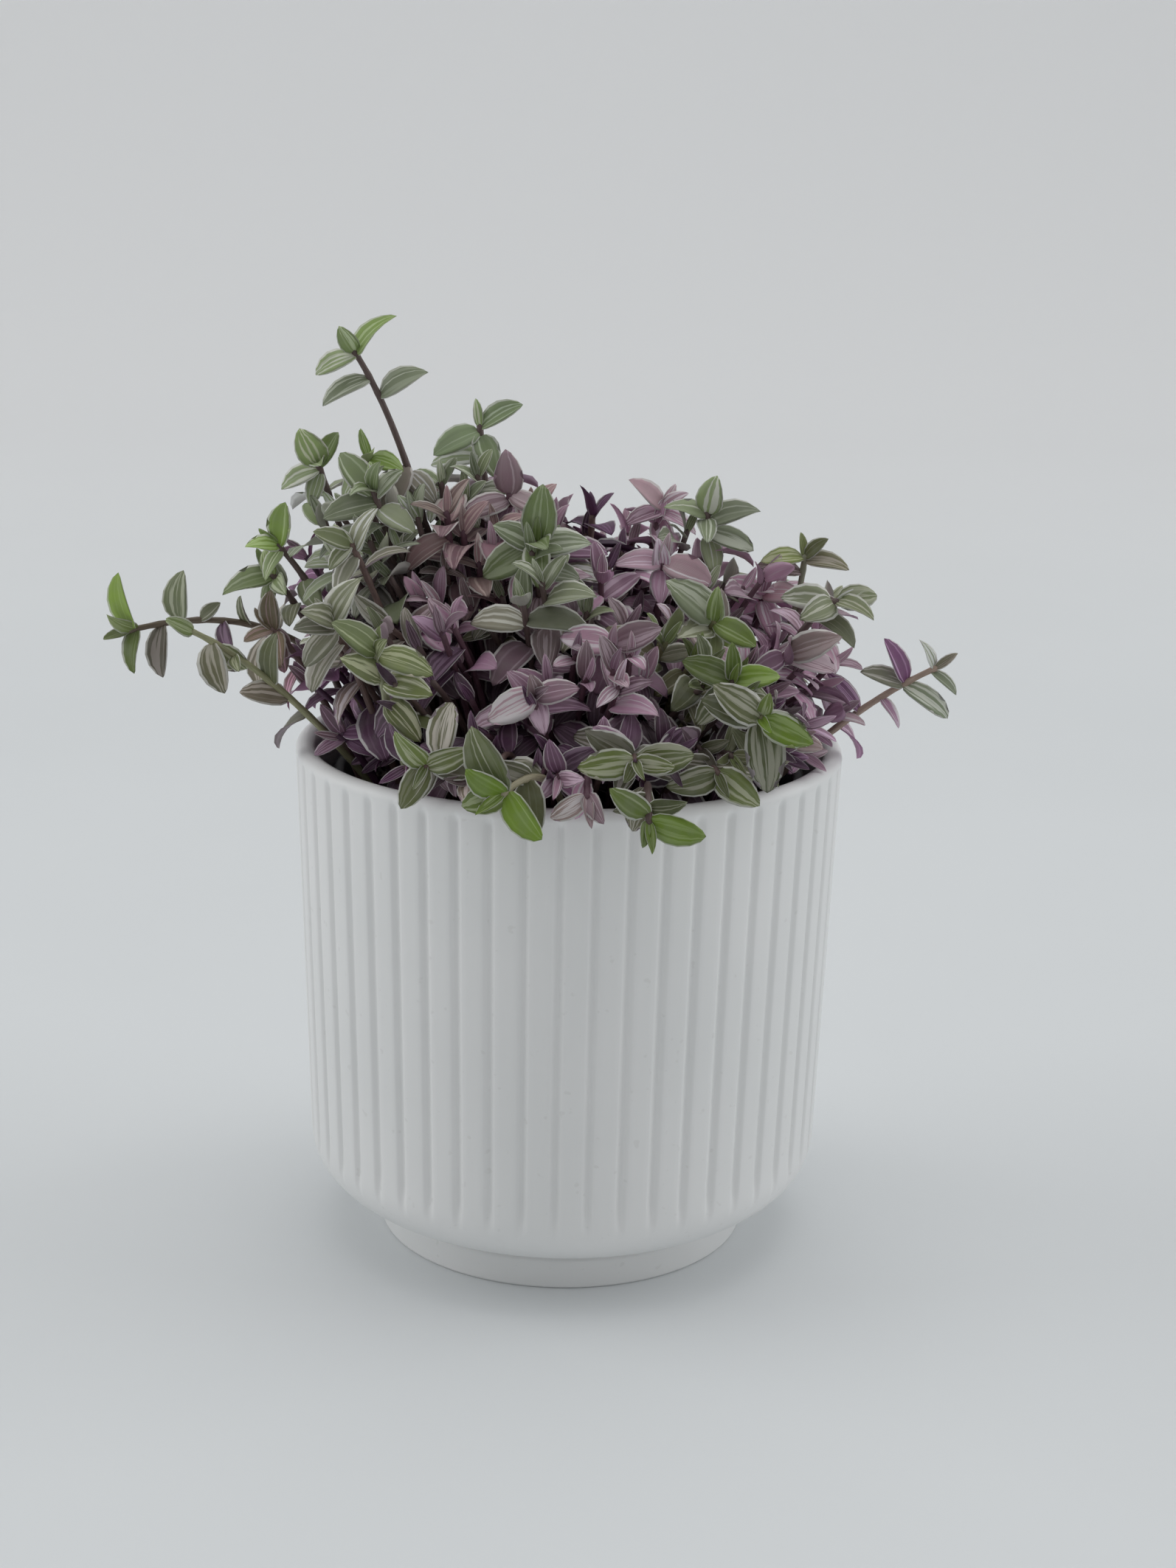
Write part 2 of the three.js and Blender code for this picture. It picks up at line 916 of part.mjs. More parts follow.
// A ring of the ceramic pot at radius r and height z. A plain ring has one point at each flute, and a
// fluted one has the flute's bottom and its two edges, all of them in order of their angle.
function potRing(r, z, depth) {
  const pitch = (2 * Math.PI) / FLUTES;
  const edge = FLUTE_WIDTH / 2 / RIM_RADIUS;
  const ring = [];
  for (let k = 0; k < FLUTES; k += 1) {
    ring.push([pitch * k, r - depth]);
    if (depth) ring.push([pitch * k + edge, r], [pitch * (k + 1) - edge, r]);
  }
  return ring.map(([turn, radius]) => ({ turn, place: point(radius * Math.cos(turn), radius * Math.sin(turn), z) }));
}

// Joins two rings with triangles, always stepping on along the ring whose next point comes first.
function bridge(lower, upper, faces) {
  const turnOf = (ring, k) => (k < ring.length ? ring[k].turn : 2 * Math.PI);
  let i = 0;
  let j = 0;
  while (i < lower.length || j < upper.length) {
    const a = lower[i % lower.length].place;
    const b = upper[j % upper.length].place;
    const onLower = j >= upper.length || (i < lower.length && turnOf(lower, i + 1) <= turnOf(upper, j + 1));
    if (onLower) i += 1;
    else j += 1;
    faces.push(a, onLower ? lower[i % lower.length].place : upper[j % upper.length].place, b);
  }
}

// Ceramic pot: a straight fluted side that tapers a little, rounds under into a bowl and stands on a
// plain foot. The flutes run out under the lip and on the bowl.
function ceramicPot() {
  const sideRadius = (z) => RIM_RADIUS - SIDE_TAPER * (POT_HEIGHT - z);
  const rings = [[FOOT_RADIUS, 0, 0], [FOOT_RADIUS, FOOT_HEIGHT - 1.6, 0], [FOOT_RADIUS - 1, FOOT_HEIGHT, 0]];
  const arc = (r, z, round, drop, turn) => {
    const t = degrees(turn);
    return [r - round + round * Math.cos(t), z - drop * Math.sin(t), 0];
  };
  for (const turn of [72, 48, 24]) {
    rings.push(arc(sideRadius(BOWL_TOP), BOWL_TOP, BOWL_ROUND, BOWL_DROP, turn));
  }
  for (const [z, depth] of [[FLUTE_FOOT, FLUTE_DEPTH], [FLUTE_TOP - 5, FLUTE_DEPTH], [FLUTE_TOP, 0]]) {
    rings.push([sideRadius(z), z, depth]);
  }
  const lip = POT_WALL / 2;
  for (const turn of [0, -60, -120, -180]) rings.push(arc(RIM_RADIUS, POT_HEIGHT - lip, lip, lip, turn));
  const bowl = BOWL_TOP + 2;
  for (const turn of [0, 45, 90]) {
    rings.push(arc(sideRadius(bowl) - POT_WALL, bowl, FLOOR_ROUND, bowl - FLOOR_THICKNESS, turn));
  }
  const faces = [];
  const middle = (z) => [{ turn: 0, place: point(0, 0, z) }];
  const all = [middle(0), ...rings.map((ring) => potRing(...ring)), middle(FLOOR_THICKNESS)];
  for (let k = 1; k < all.length; k += 1) {
    const [lower, upper] = [all[k - 1], all[k]];
    if (lower.length === 1) fan(upper, lower[0].place, faces, true);
    else if (upper.length === 1) fan(lower, upper[0].place, faces, false);
    else bridge(lower, upper, faces);
  }
  return toGeometry(toSolid(new THREE.BufferGeometry().setFromPoints(faces))).rotateZ(degrees(FLUTE_PHASE));
}

// Closes a ring onto one point on the axis.
function fan(ring, centre, faces, below) {
  ring.forEach(({ place }, k) => {
    const next = ring[(k + 1) % ring.length].place;
    faces.push(centre, ...(below ? [next, place] : [place, next]));
  });
}

// The nursery pot's inner radius at a height: its wall slopes out evenly from the floor to the rim.
function nurseryInside(z) {
  const share = (z - FLOOR_THICKNESS) / (NURSERY_TOP - FLOOR_THICKNESS);
  return THREE.MathUtils.lerp(NURSERY_BASE_RADIUS, NURSERY_RIM_RADIUS - 1.6, share) - NURSERY_WALL;
}

function nurseryPot() {
  const base = FLOOR_THICKNESS + GAP;
  const edge = NURSERY_TOP - NURSERY_LIP;
  const profile = [
    [0, base],
    [NURSERY_BASE_RADIUS - 2, base],
    [nurseryInside(base + 2) + NURSERY_WALL, base + 2],
    [nurseryInside(edge) + NURSERY_WALL, edge],
    [NURSERY_RIM_RADIUS, edge],
    [NURSERY_RIM_RADIUS, NURSERY_TOP],
    [nurseryInside(NURSERY_TOP), NURSERY_TOP],
    [nurseryInside(base + 3.5), base + 3.5],
    [NURSERY_BASE_RADIUS - 4, base + NURSERY_FLOOR],
    [0, base + NURSERY_FLOOR],
  ];
  let pot = toSolid(turned(profile, 20, 0));
  for (let k = 0; k < DRAIN_HOLES; k += 1) {
    const hole = new THREE.CylinderGeometry(3, 3, 6, 8).rotateX(Math.PI / 2);
    hole.translate(26, 0, base + 1).rotateZ((2 * Math.PI * k) / DRAIN_HOLES);
    pot = pot.subtract(toSolid(hole));
  }
  return toGeometry(pot);
}

// The root ball: moist peat that fills the nursery pot, with a plain hole for each stem.
function soil(curves) {
  const base = FLOOR_THICKNESS + NURSERY_FLOOR + 2 * GAP;
  const clear = (z) => nurseryInside(z) - GAP;
  const profile = [[0, base], [NURSERY_BASE_RADIUS - 5, base], [clear(base + 3), base + 3]];
  profile.push([clear(SOIL_TOP), SOIL_TOP], [0, SOIL_TOP + SOIL_RISE]);
  let ball = toSolid(turned(profile, 20, 0));
  for (const curve of curves) {
    const start = curve.getTangent(0);
    const foot = curve.getPoint(0).addScaledVector(start, -GAP);
    const path = new THREE.LineCurve3(foot, foot.clone().addScaledVector(start, 14));
    ball = ball.subtract(toSolid(tube(path, HOLE_RADIUS, 1)));
  }
  return toGeometry(ball);
}

const shoots = [...SHOOTS, ...fillShoots()];
const curves = shoots.map(stemCurve);
const leaves = growLeaves(shoots, curves);

addPart("ceramic_pot", ceramicPot(), 0xe9e9e7, 0.45);
addPart("nursery_pot", nurseryPot(), 0x17171a, 0.55);
addPart("soil", soil(curves), 0x2a211c, 0.95);

shoots.forEach((shoot, index) => {
  let plant = toSolid(tube(curves[index], STEM_RADIUS, stemSteps(curves[index])));
  for (const leaf of leaves[index]) plant = plant.add(toSolid(leafGeometry(leaf)));
  addPart("shoot_" + shoot.name, toGeometry(plant), TONES[shoot.tone], 0.6);
});

export default part;
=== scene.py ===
"""Potted callisia: the visual model of a bushy trailing plant in a white fluted ceramic pot.

The plant grows here by the same rules as its solids, in millimetres, and is then finished with
fine leaves, round stems and the small inner foliage. Meshes are written in metres, where the
solids stand.
"""

import math

import bpy
import numpy as np
from mathutils import Matrix


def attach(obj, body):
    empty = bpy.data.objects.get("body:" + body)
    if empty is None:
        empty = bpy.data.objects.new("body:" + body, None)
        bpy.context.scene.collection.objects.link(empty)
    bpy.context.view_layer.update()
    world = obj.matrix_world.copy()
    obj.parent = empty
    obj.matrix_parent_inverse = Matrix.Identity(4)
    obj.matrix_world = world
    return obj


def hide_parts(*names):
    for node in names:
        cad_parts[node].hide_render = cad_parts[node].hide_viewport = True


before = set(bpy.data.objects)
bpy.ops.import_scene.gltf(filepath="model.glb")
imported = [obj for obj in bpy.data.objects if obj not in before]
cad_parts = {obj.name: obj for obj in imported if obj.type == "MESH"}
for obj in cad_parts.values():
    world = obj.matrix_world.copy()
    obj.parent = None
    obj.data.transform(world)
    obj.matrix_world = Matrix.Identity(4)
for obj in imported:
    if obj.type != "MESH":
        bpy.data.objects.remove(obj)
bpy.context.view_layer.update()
MM = 0.001

# Ceramic pot
RIM_RADIUS = 70.0
POT_HEIGHT = 131.6
POT_WALL = 5.0
SIDE_TAPER = 0.03
BOWL_TOP = 26.5
BOWL_ROUND = 26.0
BOWL_DROP = 17.5
FOOT_RADIUS = 48.3
FOOT_HEIGHT = 8.2
FLOOR_THICKNESS = 12.0
FLOOR_ROUND = 21.0
FLUTES = 52
FLUTE_WIDTH = 3.5
FLUTE_DEPTH = 1.05
FLUTE_TOP = 129.4
FLUTE_PHASE = -1.5
FLUTE_PITCH = 2 * math.pi / FLUTES

# Nursery pot and peat
GAP = 0.3
NURSERY_BASE_RADIUS = 39.0
NURSERY_RIM_RADIUS = 60.5
NURSERY_TOP = 124.0
NURSERY_WALL = 1.2
NURSERY_LIP = 4.0
DRAIN_HOLES = 4
DRAIN_RADIUS = 3
DRAIN_REACH = 26
SOIL_TOP = 118.0
SOIL_RISE = 1.5
ROOT_DEPTH = 6.0
CRUMBS = 420

# Stems and leaves. A main leaf keeps its gaps to others' leaves, to its own shoot's and to stems,
# which are looked for within the two reaches.
LEAF_LENGTH = 15.0
ROOTING = 0.25
BLADE_THICKNESS = 0.42
LEAF_GAP = 2.5
OWN_GAP = 1.9
STEM_GAP = 3.1
LEAF_REACH = 20
STEM_REACH = 24
FILL_SHOOTS = 230
FILL_REACH = 70
GOLDEN_ANGLE = 2.39996
FULL_TURN = 6.28

# name: root on the soil, bend, tip, tone, number of plain leaves, and its own leaves as
# (distance below the tip, clock angle, angle towards the viewer, length, width share).
SHOOTS = {
    "tall_left": ((-24, 4), (-34, -6, 199), (-55, 0, 229), "green", 3, [
        (0, 115, 25, 8, 0.62), (1, 43, 10, 14.5), (2, 201, 10, 11.5), (12, 211, 10, 14),
        (19, 27, 5, 14), (42, 240, 20, 15), (44, 300, 30, 11)]),
    "tall_centre": ((-13, 12), (-20, 6, 170), (-24, 8, 210), "green", 3, [
        (0, 32, 5, 12.5), (1, 209, 10, 13.5), (2, 275, 35, 13), (9, 205, 5, 15.5)]),
    "upper_left": ((-34, -1), (-54, -2, 172), (-64, 0, 201), "green", 2, [
        (0, 112, 10, 10.5, 0.75), (0, 135, 50, 9.5), (1, 50, 5, 10), (2, 202, 10, 11),
        (3, 250, 35, 9)]),
    "upper_mid": ((-20, -4), (-46, -5, 178), (-51, -3, 203), "green", 1, [
        (0, 14, 8, 11.5), (1, 110, 25, 8), (3, 240, 5, 12), (8, 195, 40, 12)]),
    "left_centre": ((-27, -11), (-42, -15, 176), (-49, -16, 197), "green", 2, [
        (0, 80, 25, 9), (0, 160, 40, 9.5), (2, 128, -5, 14), (3, 50, 15, 10), (6, 196, 15, 14),
        (8, 330, 30, 12)]),
    "left_edge": ((-40, -6), (-58, -9, 166), (-73, -11, 182), "green", 2, [
        (0, 80, 10, 11.5, 0.6), (0, 158, 20, 9, 0.65), (2, 240, 25, 9), (16, 300, 35, 11)]),
    "left_edge_low": ((-47, -6), (-62, -6, 160), (-75, -8, 174), "green", 1, [
        (0, 195, 15, 13.5, 0.6), (0, 80, 30, 8), (1, 265, 20, 9), (2, 320, 35, 10),
        (7, 165, 30, 11)]),
    "left_hang": ((-48, -15), (-62, -15, 150), (-74, -16, 162), "dusky", 1, [
        (0, 94, 10, 10.5, 0.6), (0, 200, 20, 8), (1, 335, 25, 12), (4, 262, 35, 10),
        (9, 190, 0, 11)]),
    "left_front_top": ((-26, -22), (-46, -28, 172), (-53, -31, 186), "dusky", 3, [
        (0, 158, 15, 10), (0, 200, 40, 9), (3, 60, 10, 12), (6, 235, 25, 12)]),
    "left_trailing": ((-43, 3), (-57, -2, 173), (-110.5, -10, 159.5), "green", 2, [
        (0, 105, 10, 15.5), (1, 150, 25, 9), (1, 262, 15, 11.5), (7, 268, 10, 14),
        (11, 88, 10, 14), (16, 40, 10, 7), (22, 285, 25, 9), (29, 100, 30, 9)]),
    "left_low": ((-42, -15), (-68, -26, 152), (-92, -30, 164), "green", 1, [
        (0, 150, 30, 8), (7, 280, 12, 13, 0.6), (9, 315, -25, 11), (15, 240, 50, 7),
        (28, 107, 12, 14.5, 0.58), (34, 172, 12, 12.5)]),
    "front_left": ((-33, -33), (-44, -52, 150), (-45, -54, 165), "green", 1, [
        (0, 142, 15, 13.5), (1, 348, 15, 14), (2, 70, 40, 8), (11, 140, 25, 12.5),
        (12, 356, 20, 13), (19, 318, 25, 13)]),
    "left_hollow": ((-38, -20), (-52, -33, 158), (-57, -40, 169), "dusky", 2, [
        (0, 62, 15, 14), (0, 42, 45, 13), (3, 150, 30, 12), (5, 230, 25, 12)]),
    "crown": ((-4, -12), (-8, -19, 172), (-9, -28, 187), "green", 3, [
        (0, 81, 5, 14.5, 0.6), (0, 45, 55, 12), (1, 272, 38, 12.5), (2, 225, 15, 15, 0.6),
        (3, 150, 10, 12), (4, 12, 10, 14)]),
    "crown_hood": ((-9, 0), (-15, -6, 176), (-16, -10, 196), "pink", 4, [
        (0, 92, 15, 12, 0.6), (1, 330, 10, 11), (3, 200, 20, 13), (6, 250, 40, 13)]),
    "top_right": ((12, 8), (19, 14, 174), (23, 16, 189), "pink", 3, [
        (0, 140, 15, 12), (0, 35, 10, 8), (2, 200, 30, 11), (3, 330, 25, 11),
        (6, 270, 30, 12)]),
    "upper_right": ((23, 3), (35, 7, 172), (34, 9, 189), "green", 2, [
        (0, 78, 10, 10.5, 0.7), (1, 165, 15, 12), (5, 15, 10, 14.5), (3, 190, 35, 12),
        (9, 340, 15, 13), (11, 300, 25, 11)]),
    "right_pink": ((17, -10), (22, -10, 168), (22, -14, 180), "pink", 3, [
        (0, 178, 5, 12, 0.58), (0, 338, 5, 13.5, 0.58), (4, 262, 40, 10), (5, 100, 10, 9)]),
    "right_mauve": ((38, 13), (46, 10, 155), (49, 6, 169), "pink", 2, [
        (0, 20, 25, 11, 0.6), (0, 160, 20, 11, 0.6), (1, 95, 35, 9), (3, 300, 25, 12),
        (4, 225, 25, 11)]),
    "right_sprig": ((36, 2), (57, 2, 152), (59, 5, 179), "dusky", 2, [
        (0, 43, 15, 8), (0, 168, 5, 12, 0.44), (1, 356, 10, 12, 0.44), (5, 178, 15, 12, 0.46),
        (17, 20, 25, 12), (21, 215, 35, 11)]),
    "right_edge": ((39, -9), (52, -12, 165), (66, -13, 171), "green", 2, [
        (0, 12, -15, 11, 0.6), (0, 338, 30, 11, 0.6), (2, 198, 45, 13), (3, 170, 0, 13),
        (12, 340, 30, 13)]),
    "right_trailing": ((42, -9), (66, -16, 143), (90.5, -18, 155.5), "dusky", 1, [
        (0, 118, 5, 8.5, 0.42), (1, 322, 5, 9, 0.42), (9, 118, 5, 13, 0.42),
        (10, 327, 8, 14.5, 0.42), (10, 164, 15, 12, 0.5), (17, 300, 20, 9, 0.42),
        (24, 124, 10, 12.5, 0.46)]),
    "right_low": ((34, -22), (47, -32, 136), (54, -36, 141), "pink", 1, [
        (0, 125, 25, 11, 0.7), (0, 350, 20, 8, 0.65), (1, 20, 10, 8), (3, 210, 35, 10)]),
    "right_purple": ((38, -17), (47, -23, 157), (53, -25, 160), "pink", 2, [
        (0, 21, 10, 14.5), (1, 350, 15, 13), (5, 24, 20, 13), (3, 205, 25, 10),
        (9, 90, 20, 10)]),
    "right_face": ((23, -19), (32, -25, 160), (34, -35, 170), "bright", 2, [
        (0, 135, 10, 16), (0, 82, 30, 11, 0.45), (1, 333, 15, 12), (6, 132, 30, 14),
        (5, 265, 30, 12), (9, 55, 10, 12)]),
    "right_face_low": ((29, -28), (36, -41, 152), (38, -51, 159), "green", 2, [
        (0, 97, 15, 10, 0.45), (0, 48, 10, 13), (1, 152, 20, 13.5), (3, 330, 20, 11),
        (5, 230, 30, 13)]),
    "front_right": ((37, -31), (42, -50, 152), (44, -64, 153), "bright", 1, [
        (0, 145, 10, 14.5), (0, 336, 15, 13.5), (1, 75, 20, 7), (3, 172, 15, 15),
        (4, 280, 10, 18), (8, 325, 25, 13)]),
    "front_centre": ((9, -34), (13, -54, 147), (15, -71, 144), "dusky", 2, [
        (0, 185, 5, 13.5), (0, 328, 30, 10.5), (1, 5, 10, 14), (1, 228, 30, 6),
        (5, 164, 10, 13), (8, 243, 25, 10)]),
    "front_low_left": ((1, -40), (-2, -70, 149), (-15, -79, 138), "bright", 1, [
        (0, 113, 5, 17.5), (0, 140, 25, 12), (1, 304, 10, 14), (2, 198, 15, 11.5, 0.7),
        (12, 281, 15, 14), (14, 160, 15, 10)]),
    "front_low_right": ((21, -38), (17, -66, 150), (18, -83, 133), "green", 1, [
        (0, 350, 15, 13.5), (0, 255, 30, 6.5), (2, 140, 15, 11.5), (5, 8, 10, 9),
        (10, 200, 20, 9)]),
    "front_left_low": ((-18, -37), (-29, -56, 148), (-33, -68, 141), "dusky", 2, [
        (0, 30, 15, 12), (0, 125, 20, 12), (1, 236, 15, 12), (4, 350, 25, 11),
        (6, 285, 20, 11)]),
    "front_pink": ((-9, -28), (-10, -45, 152), (-8, -57, 156), "pink", 3, [
        (0, 205, 5, 13, 0.58), (0, 100, 40, 8, 0.6), (3, 18, 10, 11), (5, 245, 45, 11),
        (8, 160, 30, 11, 0.6)]),
    "middle_pink": ((7, -24), (9, -37, 160), (10, -45, 166), "pink", 3, [
        (0, 18, 5, 12, 0.62), (1, 176, 0, 13, 0.6), (3, 232, 35, 13), (6, 255, 0, 12, 0.6),
        (9, 200, -15, 11)]),
    "left_rim": ((-41, -20), (-50, -24, 130), (-56, -28, 139), "purple", 0, [
        (0, 125, 15, 10, 0.4), (0, 20, 20, 10, 0.4), (2, 208, 10, 9, 0.4), (3, 320, 35, 9, 0.4),
        (6, 75, 35, 9, 0.4), (7, 250, 20, 8, 0.4)]),
    "rim_middle": ((6, -34), (4, -58, 148), (4, -75.5, 136.5), "pink", 0, [
        (0, 183, 5, 11), (1, 300, 30, 9), (6, 60, 40, 10), (8, 190, 30, 11)]),
    "rim_right": ((24, -36), (31, -50, 144), (34.5, -62, 139), "dusky", 0, [
        (0, 195, 5, 13), (1, 322, 25, 13, 0.6), (5, 345, -10, 11), (8, 160, 35, 10)]),
}

# name: distance from the axis, height, angle step, first angle, count, tone
FILL_RINGS = {
    "back": (73, 150, 31, 32, 5, "green"),
    "shoulder": (53, 170, 36, 48, 4, "dusky"),
    "heart": (27, 176, 60, 62, 2, "pink"),
    "core": (6, 186, 0, -10, 1, "dusky"),
    "side": (66, 150, 0, 168, 1, "purple"),
    "inner": (34, 147, 47, 349, 2, "purple"),
    "flank": (42, 170, 0, 222, 1, "pink"),
}

# Shoots that stand out of the crown, so that the small inner foliage doesn't follow them.
STANDING_OUT = {"tall_left", "tall_centre", "upper_left", "left_trailing", "left_low", "left_edge",
                "left_edge_low", "right_sprig", "right_trailing", "right_edge", "front_low_right"}

# Where the dense crown reaches between its shoots' own tips
CROWN_GUIDES = [(-40, -8, 199), (-30, -5, 197), (-52, -6, 203), (-61, -9, 190), (-20, 4, 196),
                (8, 0, 184), (30, -2, 187), (45, 0, 182), (56, 2, 172), (-70, -6, 178),
                (-68, -28, 156), (-40, 35, 168), (0, 40, 166), (40, 34, 164), (64, -20, 158)]

# Rows of small shoots at the rim, purple at the left and mixed along the front: count, first and
# last angle, distance from the axis, height, tone, leaf length, slimness
RIM_ROWS = [(9, 186, 232, 54, 134, "purple", 11, 0.7), (6, 236, 262, 66, 140, "dusky", 13, 0.9),
            (6, 262, 290, 67, 140, "pink", 13, 1.0), (6, 288, 318, 66, 140, "green", 13, 1.0),
            (5, 318, 350, 60, 136, "pink", 12, 0.9)]

# Small tufts that close the crown behind the tall shoots at the left: tip and tone. The pink ones
# are browned.
TUFTS = [((-27, -15, 187), "pink"), ((-19, -14, 188), "pink"), ((-23, -19, 180), "pink"),
         ((-13, -17, 181), "pink"), ((-33, -3, 197), "green"), ((-41, -3, 189), "green"),
         ((-31, -17, 192), "pink"), ((-27, -5, 193), "green"), ((-34, -10, 182), "green"),
         ((-31, -18, 178), "dusky"), ((-46, -5, 187), "green"), ((-11, -7, 190), "pink"),
         ((-24, -3, 199), "green"), ((-18, -22, 172), "pink")]
ROSY_BROWN = (0.78, 0.80, 0.63)

# Hollows between the front leaves, which keep no small leaves, and round which the small leaves get
# painted shade, dark and purple: centre and radius
HOLLOWS = [((-36, -54, 156), 13), ((-25, -56, 151), 12), ((-7, -60, 149), 10),
           ((-46, -48, 140), 12), ((21, -64, 142), 8), ((51, -42, 142), 8), ((8, -3, 181), 9)]
HOLES, HOLE_RADII = (np.array(part, float) for part in zip(*HOLLOWS))

# For each tone: blade between the stripes, stripes, and underside
PALETTE = {
    "green": ((0.112, 0.130, 0.050), (0.36, 0.37, 0.25), (0.36, 0.32, 0.33)),
    "bright": ((0.130, 0.165, 0.026), (0.26, 0.31, 0.11), (0.30, 0.31, 0.18)),
    "dusky": ((0.150, 0.110, 0.092), (0.50, 0.41, 0.42), (0.34, 0.22, 0.30)),
    "pink": ((0.43, 0.245, 0.35), (0.80, 0.62, 0.74), (0.55, 0.33, 0.47)),
    "purple": ((0.120, 0.045, 0.105), (0.40, 0.25, 0.38), (0.19, 0.065, 0.16)),
}
# The same three colours of leaves high up, young leaves, leaves low at the front, whose dark olive
# is in part painted shade, and old leaves
SAGE = np.array([(0.215, 0.250, 0.160), (0.64, 0.67, 0.57), (0.43, 0.43, 0.39)])
YOUNG = np.array([(0.150, 0.245, 0.016), (0.24, 0.34, 0.09), (0.26, 0.34, 0.10)])
SHADED_OLIVE = np.array([(0.078, 0.092, 0.034), (0.42, 0.41, 0.35), (0.33, 0.29, 0.31)])
OLD = np.array([(0.150, 0.075, 0.115), (0.42, 0.31, 0.38), (0.20, 0.075, 0.15)])
# A leaf's brightness by tone: the least, and how much chance adds
SPREAD = {"green": (0.54, 0.68), "bright": (0.62, 0.42), "dusky": (0.50, 0.74),
          "pink": (0.52, 0.70), "purple": (0.50, 0.76)}
STEM_TONES = {"green": (0.10, 0.065, 0.06), "bright": (0.20, 0.19, 0.10),
              "dusky": (0.13, 0.08, 0.07), "pink": (0.11, 0.05, 0.07), "purple": (0.06, 0.02, 0.05)}
PALE_STEMS = {"left_low": (0.27, 0.27, 0.15), "front_left": (0.24, 0.25, 0.15),
              "front_low_left": (0.30, 0.27, 0.18), "right_sprig": (0.20, 0.20, 0.14),
              "right_trailing": (0.34, 0.25, 0.20), "left_trailing": (0.12, 0.09, 0.06)}
# How far the leaves at the tip turn to bright young green, by tone and for single shoots
YOUTH = {"green": 0.6, "bright": 1.0, "dusky": 0.4, "pink": 0.2, "purple": 0.1, "crown": 1.1,
         "tall_left": 0.9, "left_trailing": 0.8, "upper_left": 0.7, "upper_mid": 0.9,
         "left_edge": 0.8, "right_sprig": 0.7, "right_edge": 0.2, "upper_right": 0.3,
         "tall_centre": 0.35, "right_face_low": 0.9, "front_low_right": 0.9, "left_hollow": 0.1,
         "front_left": 0.25}
# Leaves whose colour isn't their shoot's, by their place in its list
LEAF_TONES = {"front_low_left": {0: "green"}, "front_right": {0: "green", 3: "green", 4: "green"},
              "right_face": {0: "green"}, "crown": {0: "green"}, "left_trailing": {6: "purple"},
              "right_trailing": {0: "sage", 1: "sage", 2: "purple", 3: "sage", 4: "sage",
                                 5: "pink", 6: "purple"}}
# Shoots that are lighter or darker than their tone, or coloured a little differently
TINTS = {"crown_hood": (0.80, 0.82, 0.80), "right_mauve": (1.5, 1.42, 1.5),
         "top_right": (1.2, 1.22, 1.2), "right_edge": (1.3, 1.22, 1.32), "upper_right": 1.1,
         "upper_left": 1.1, "right_trailing": (1.08, 1.08, 1.1), "front_left": (1.3, 1.33, 1.15),
         "upper_mid": 1.15, "left_centre": 1.15, "left_hang": (0.85, 0.55, 0.75),
         "right_pink": 1.12, "core_1": (0.6, 0.42, 0.62), "tall_centre": (1.05, 1.1, 1.1),
         "middle_pink": (0.88, 0.87, 0.87), "front_pink": 0.92}
# Shoots whose own leaves don't turn pink lower down
UNBLUSHED = {"right_trailing", "right_sprig", "right_edge", "upper_right"}


# Small helpers

def seeded(seed):
    """Even draws in 0..1: each state is the last one times 1664525 plus 1013904223, in 32 bits."""
    state = seed
    while True:
        state = (state * 1664525 + 1013904223) % 4294967296
        yield state / 4294967296


def unit(vector):
    """A vector divided by its own length."""
    return vector / np.linalg.norm(vector, axis=-1, keepdims=True)


def across_of(vector, axis):
    """The part of a vector square to an axis, at length one."""
    return unit(vector - axis * np.dot(vector, axis))


def turned(vector, axis, angle):
    """A vector turned about a unit axis: v cos a + (axis x v) sin a + axis (axis.v)(1 - cos a)."""
    c, s = math.cos(angle), math.sin(angle)
    return vector * c + np.cross(axis, vector) * s + axis * np.dot(axis, vector) * (1 - c)


def smooth(x, low, high):
    """0 below low, 1 above high, and 3t^2 - 2t^3 between them."""
    t = np.clip((x - low) / (high - low), 0, 1)
    return t * t * (3 - 2 * t)


# Growth: where every stem and leaf is, by the rules of the solids

class Shoot:
    """A stem as a plain curve from root to tip by way of a bend, with the leaves that it grows.
    Its joints are the first gap between pairs of leaves and what the next gaps gain."""

    def __init__(self, name, root, bend, tip, tone, more, leaves, seed, joints=(3.5, 1.7),
                 size=LEAF_LENGTH, slim=1.0, out=(0, 0, 0)):
        self.name, self.tone, self.more, self.own, self.seed = name, tone, more, leaves, seed
        self.joints, self.size, self.slim, self.out = joints, size, slim, np.array(out)
        self.root = np.array([root[0], root[1], SOIL_TOP - ROOT_DEPTH], float)
        self.bend, self.tip = np.array(bend, float), np.array(tip, float)
        self.leaves, self.tint = [], np.ones(3)
        self.length = np.linalg.norm(np.diff(self.at(np.linspace(0, 1, 17)), axis=0), axis=1).sum()

    def at(self, t):
        """Points of the curve: (1-t)^2 root + 2t(1-t) bend + t^2 tip."""
        t = np.asarray(t, float)[..., None]
        return (1 - t) ** 2 * self.root + 2 * t * (1 - t) * self.bend + t ** 2 * self.tip

    def along(self, t):
        """The curve's direction: (1-t)(bend - root) + t(tip - bend), at length one."""
        t = np.asarray(t, float)[..., None]
        return unit((1 - t) * (self.bend - self.root) + t * (self.tip - self.bend))


class Leaf:
    """A leaf's base, direction d, upper side n and side w, with its size, curl and fold."""

    def __init__(self, base, d, n, length, share, curl, fold):
        self.base, self.d, self.n, self.w = base, d, n, np.cross(d, n)
        self.length, self.share, self.curl, self.fold = length, share, curl, fold
        # gloom: how much painted shade the leaf gets for being closed in by leaves and stems
        self.down, self.gloom, self.listed = 0.0, 0.0, -1


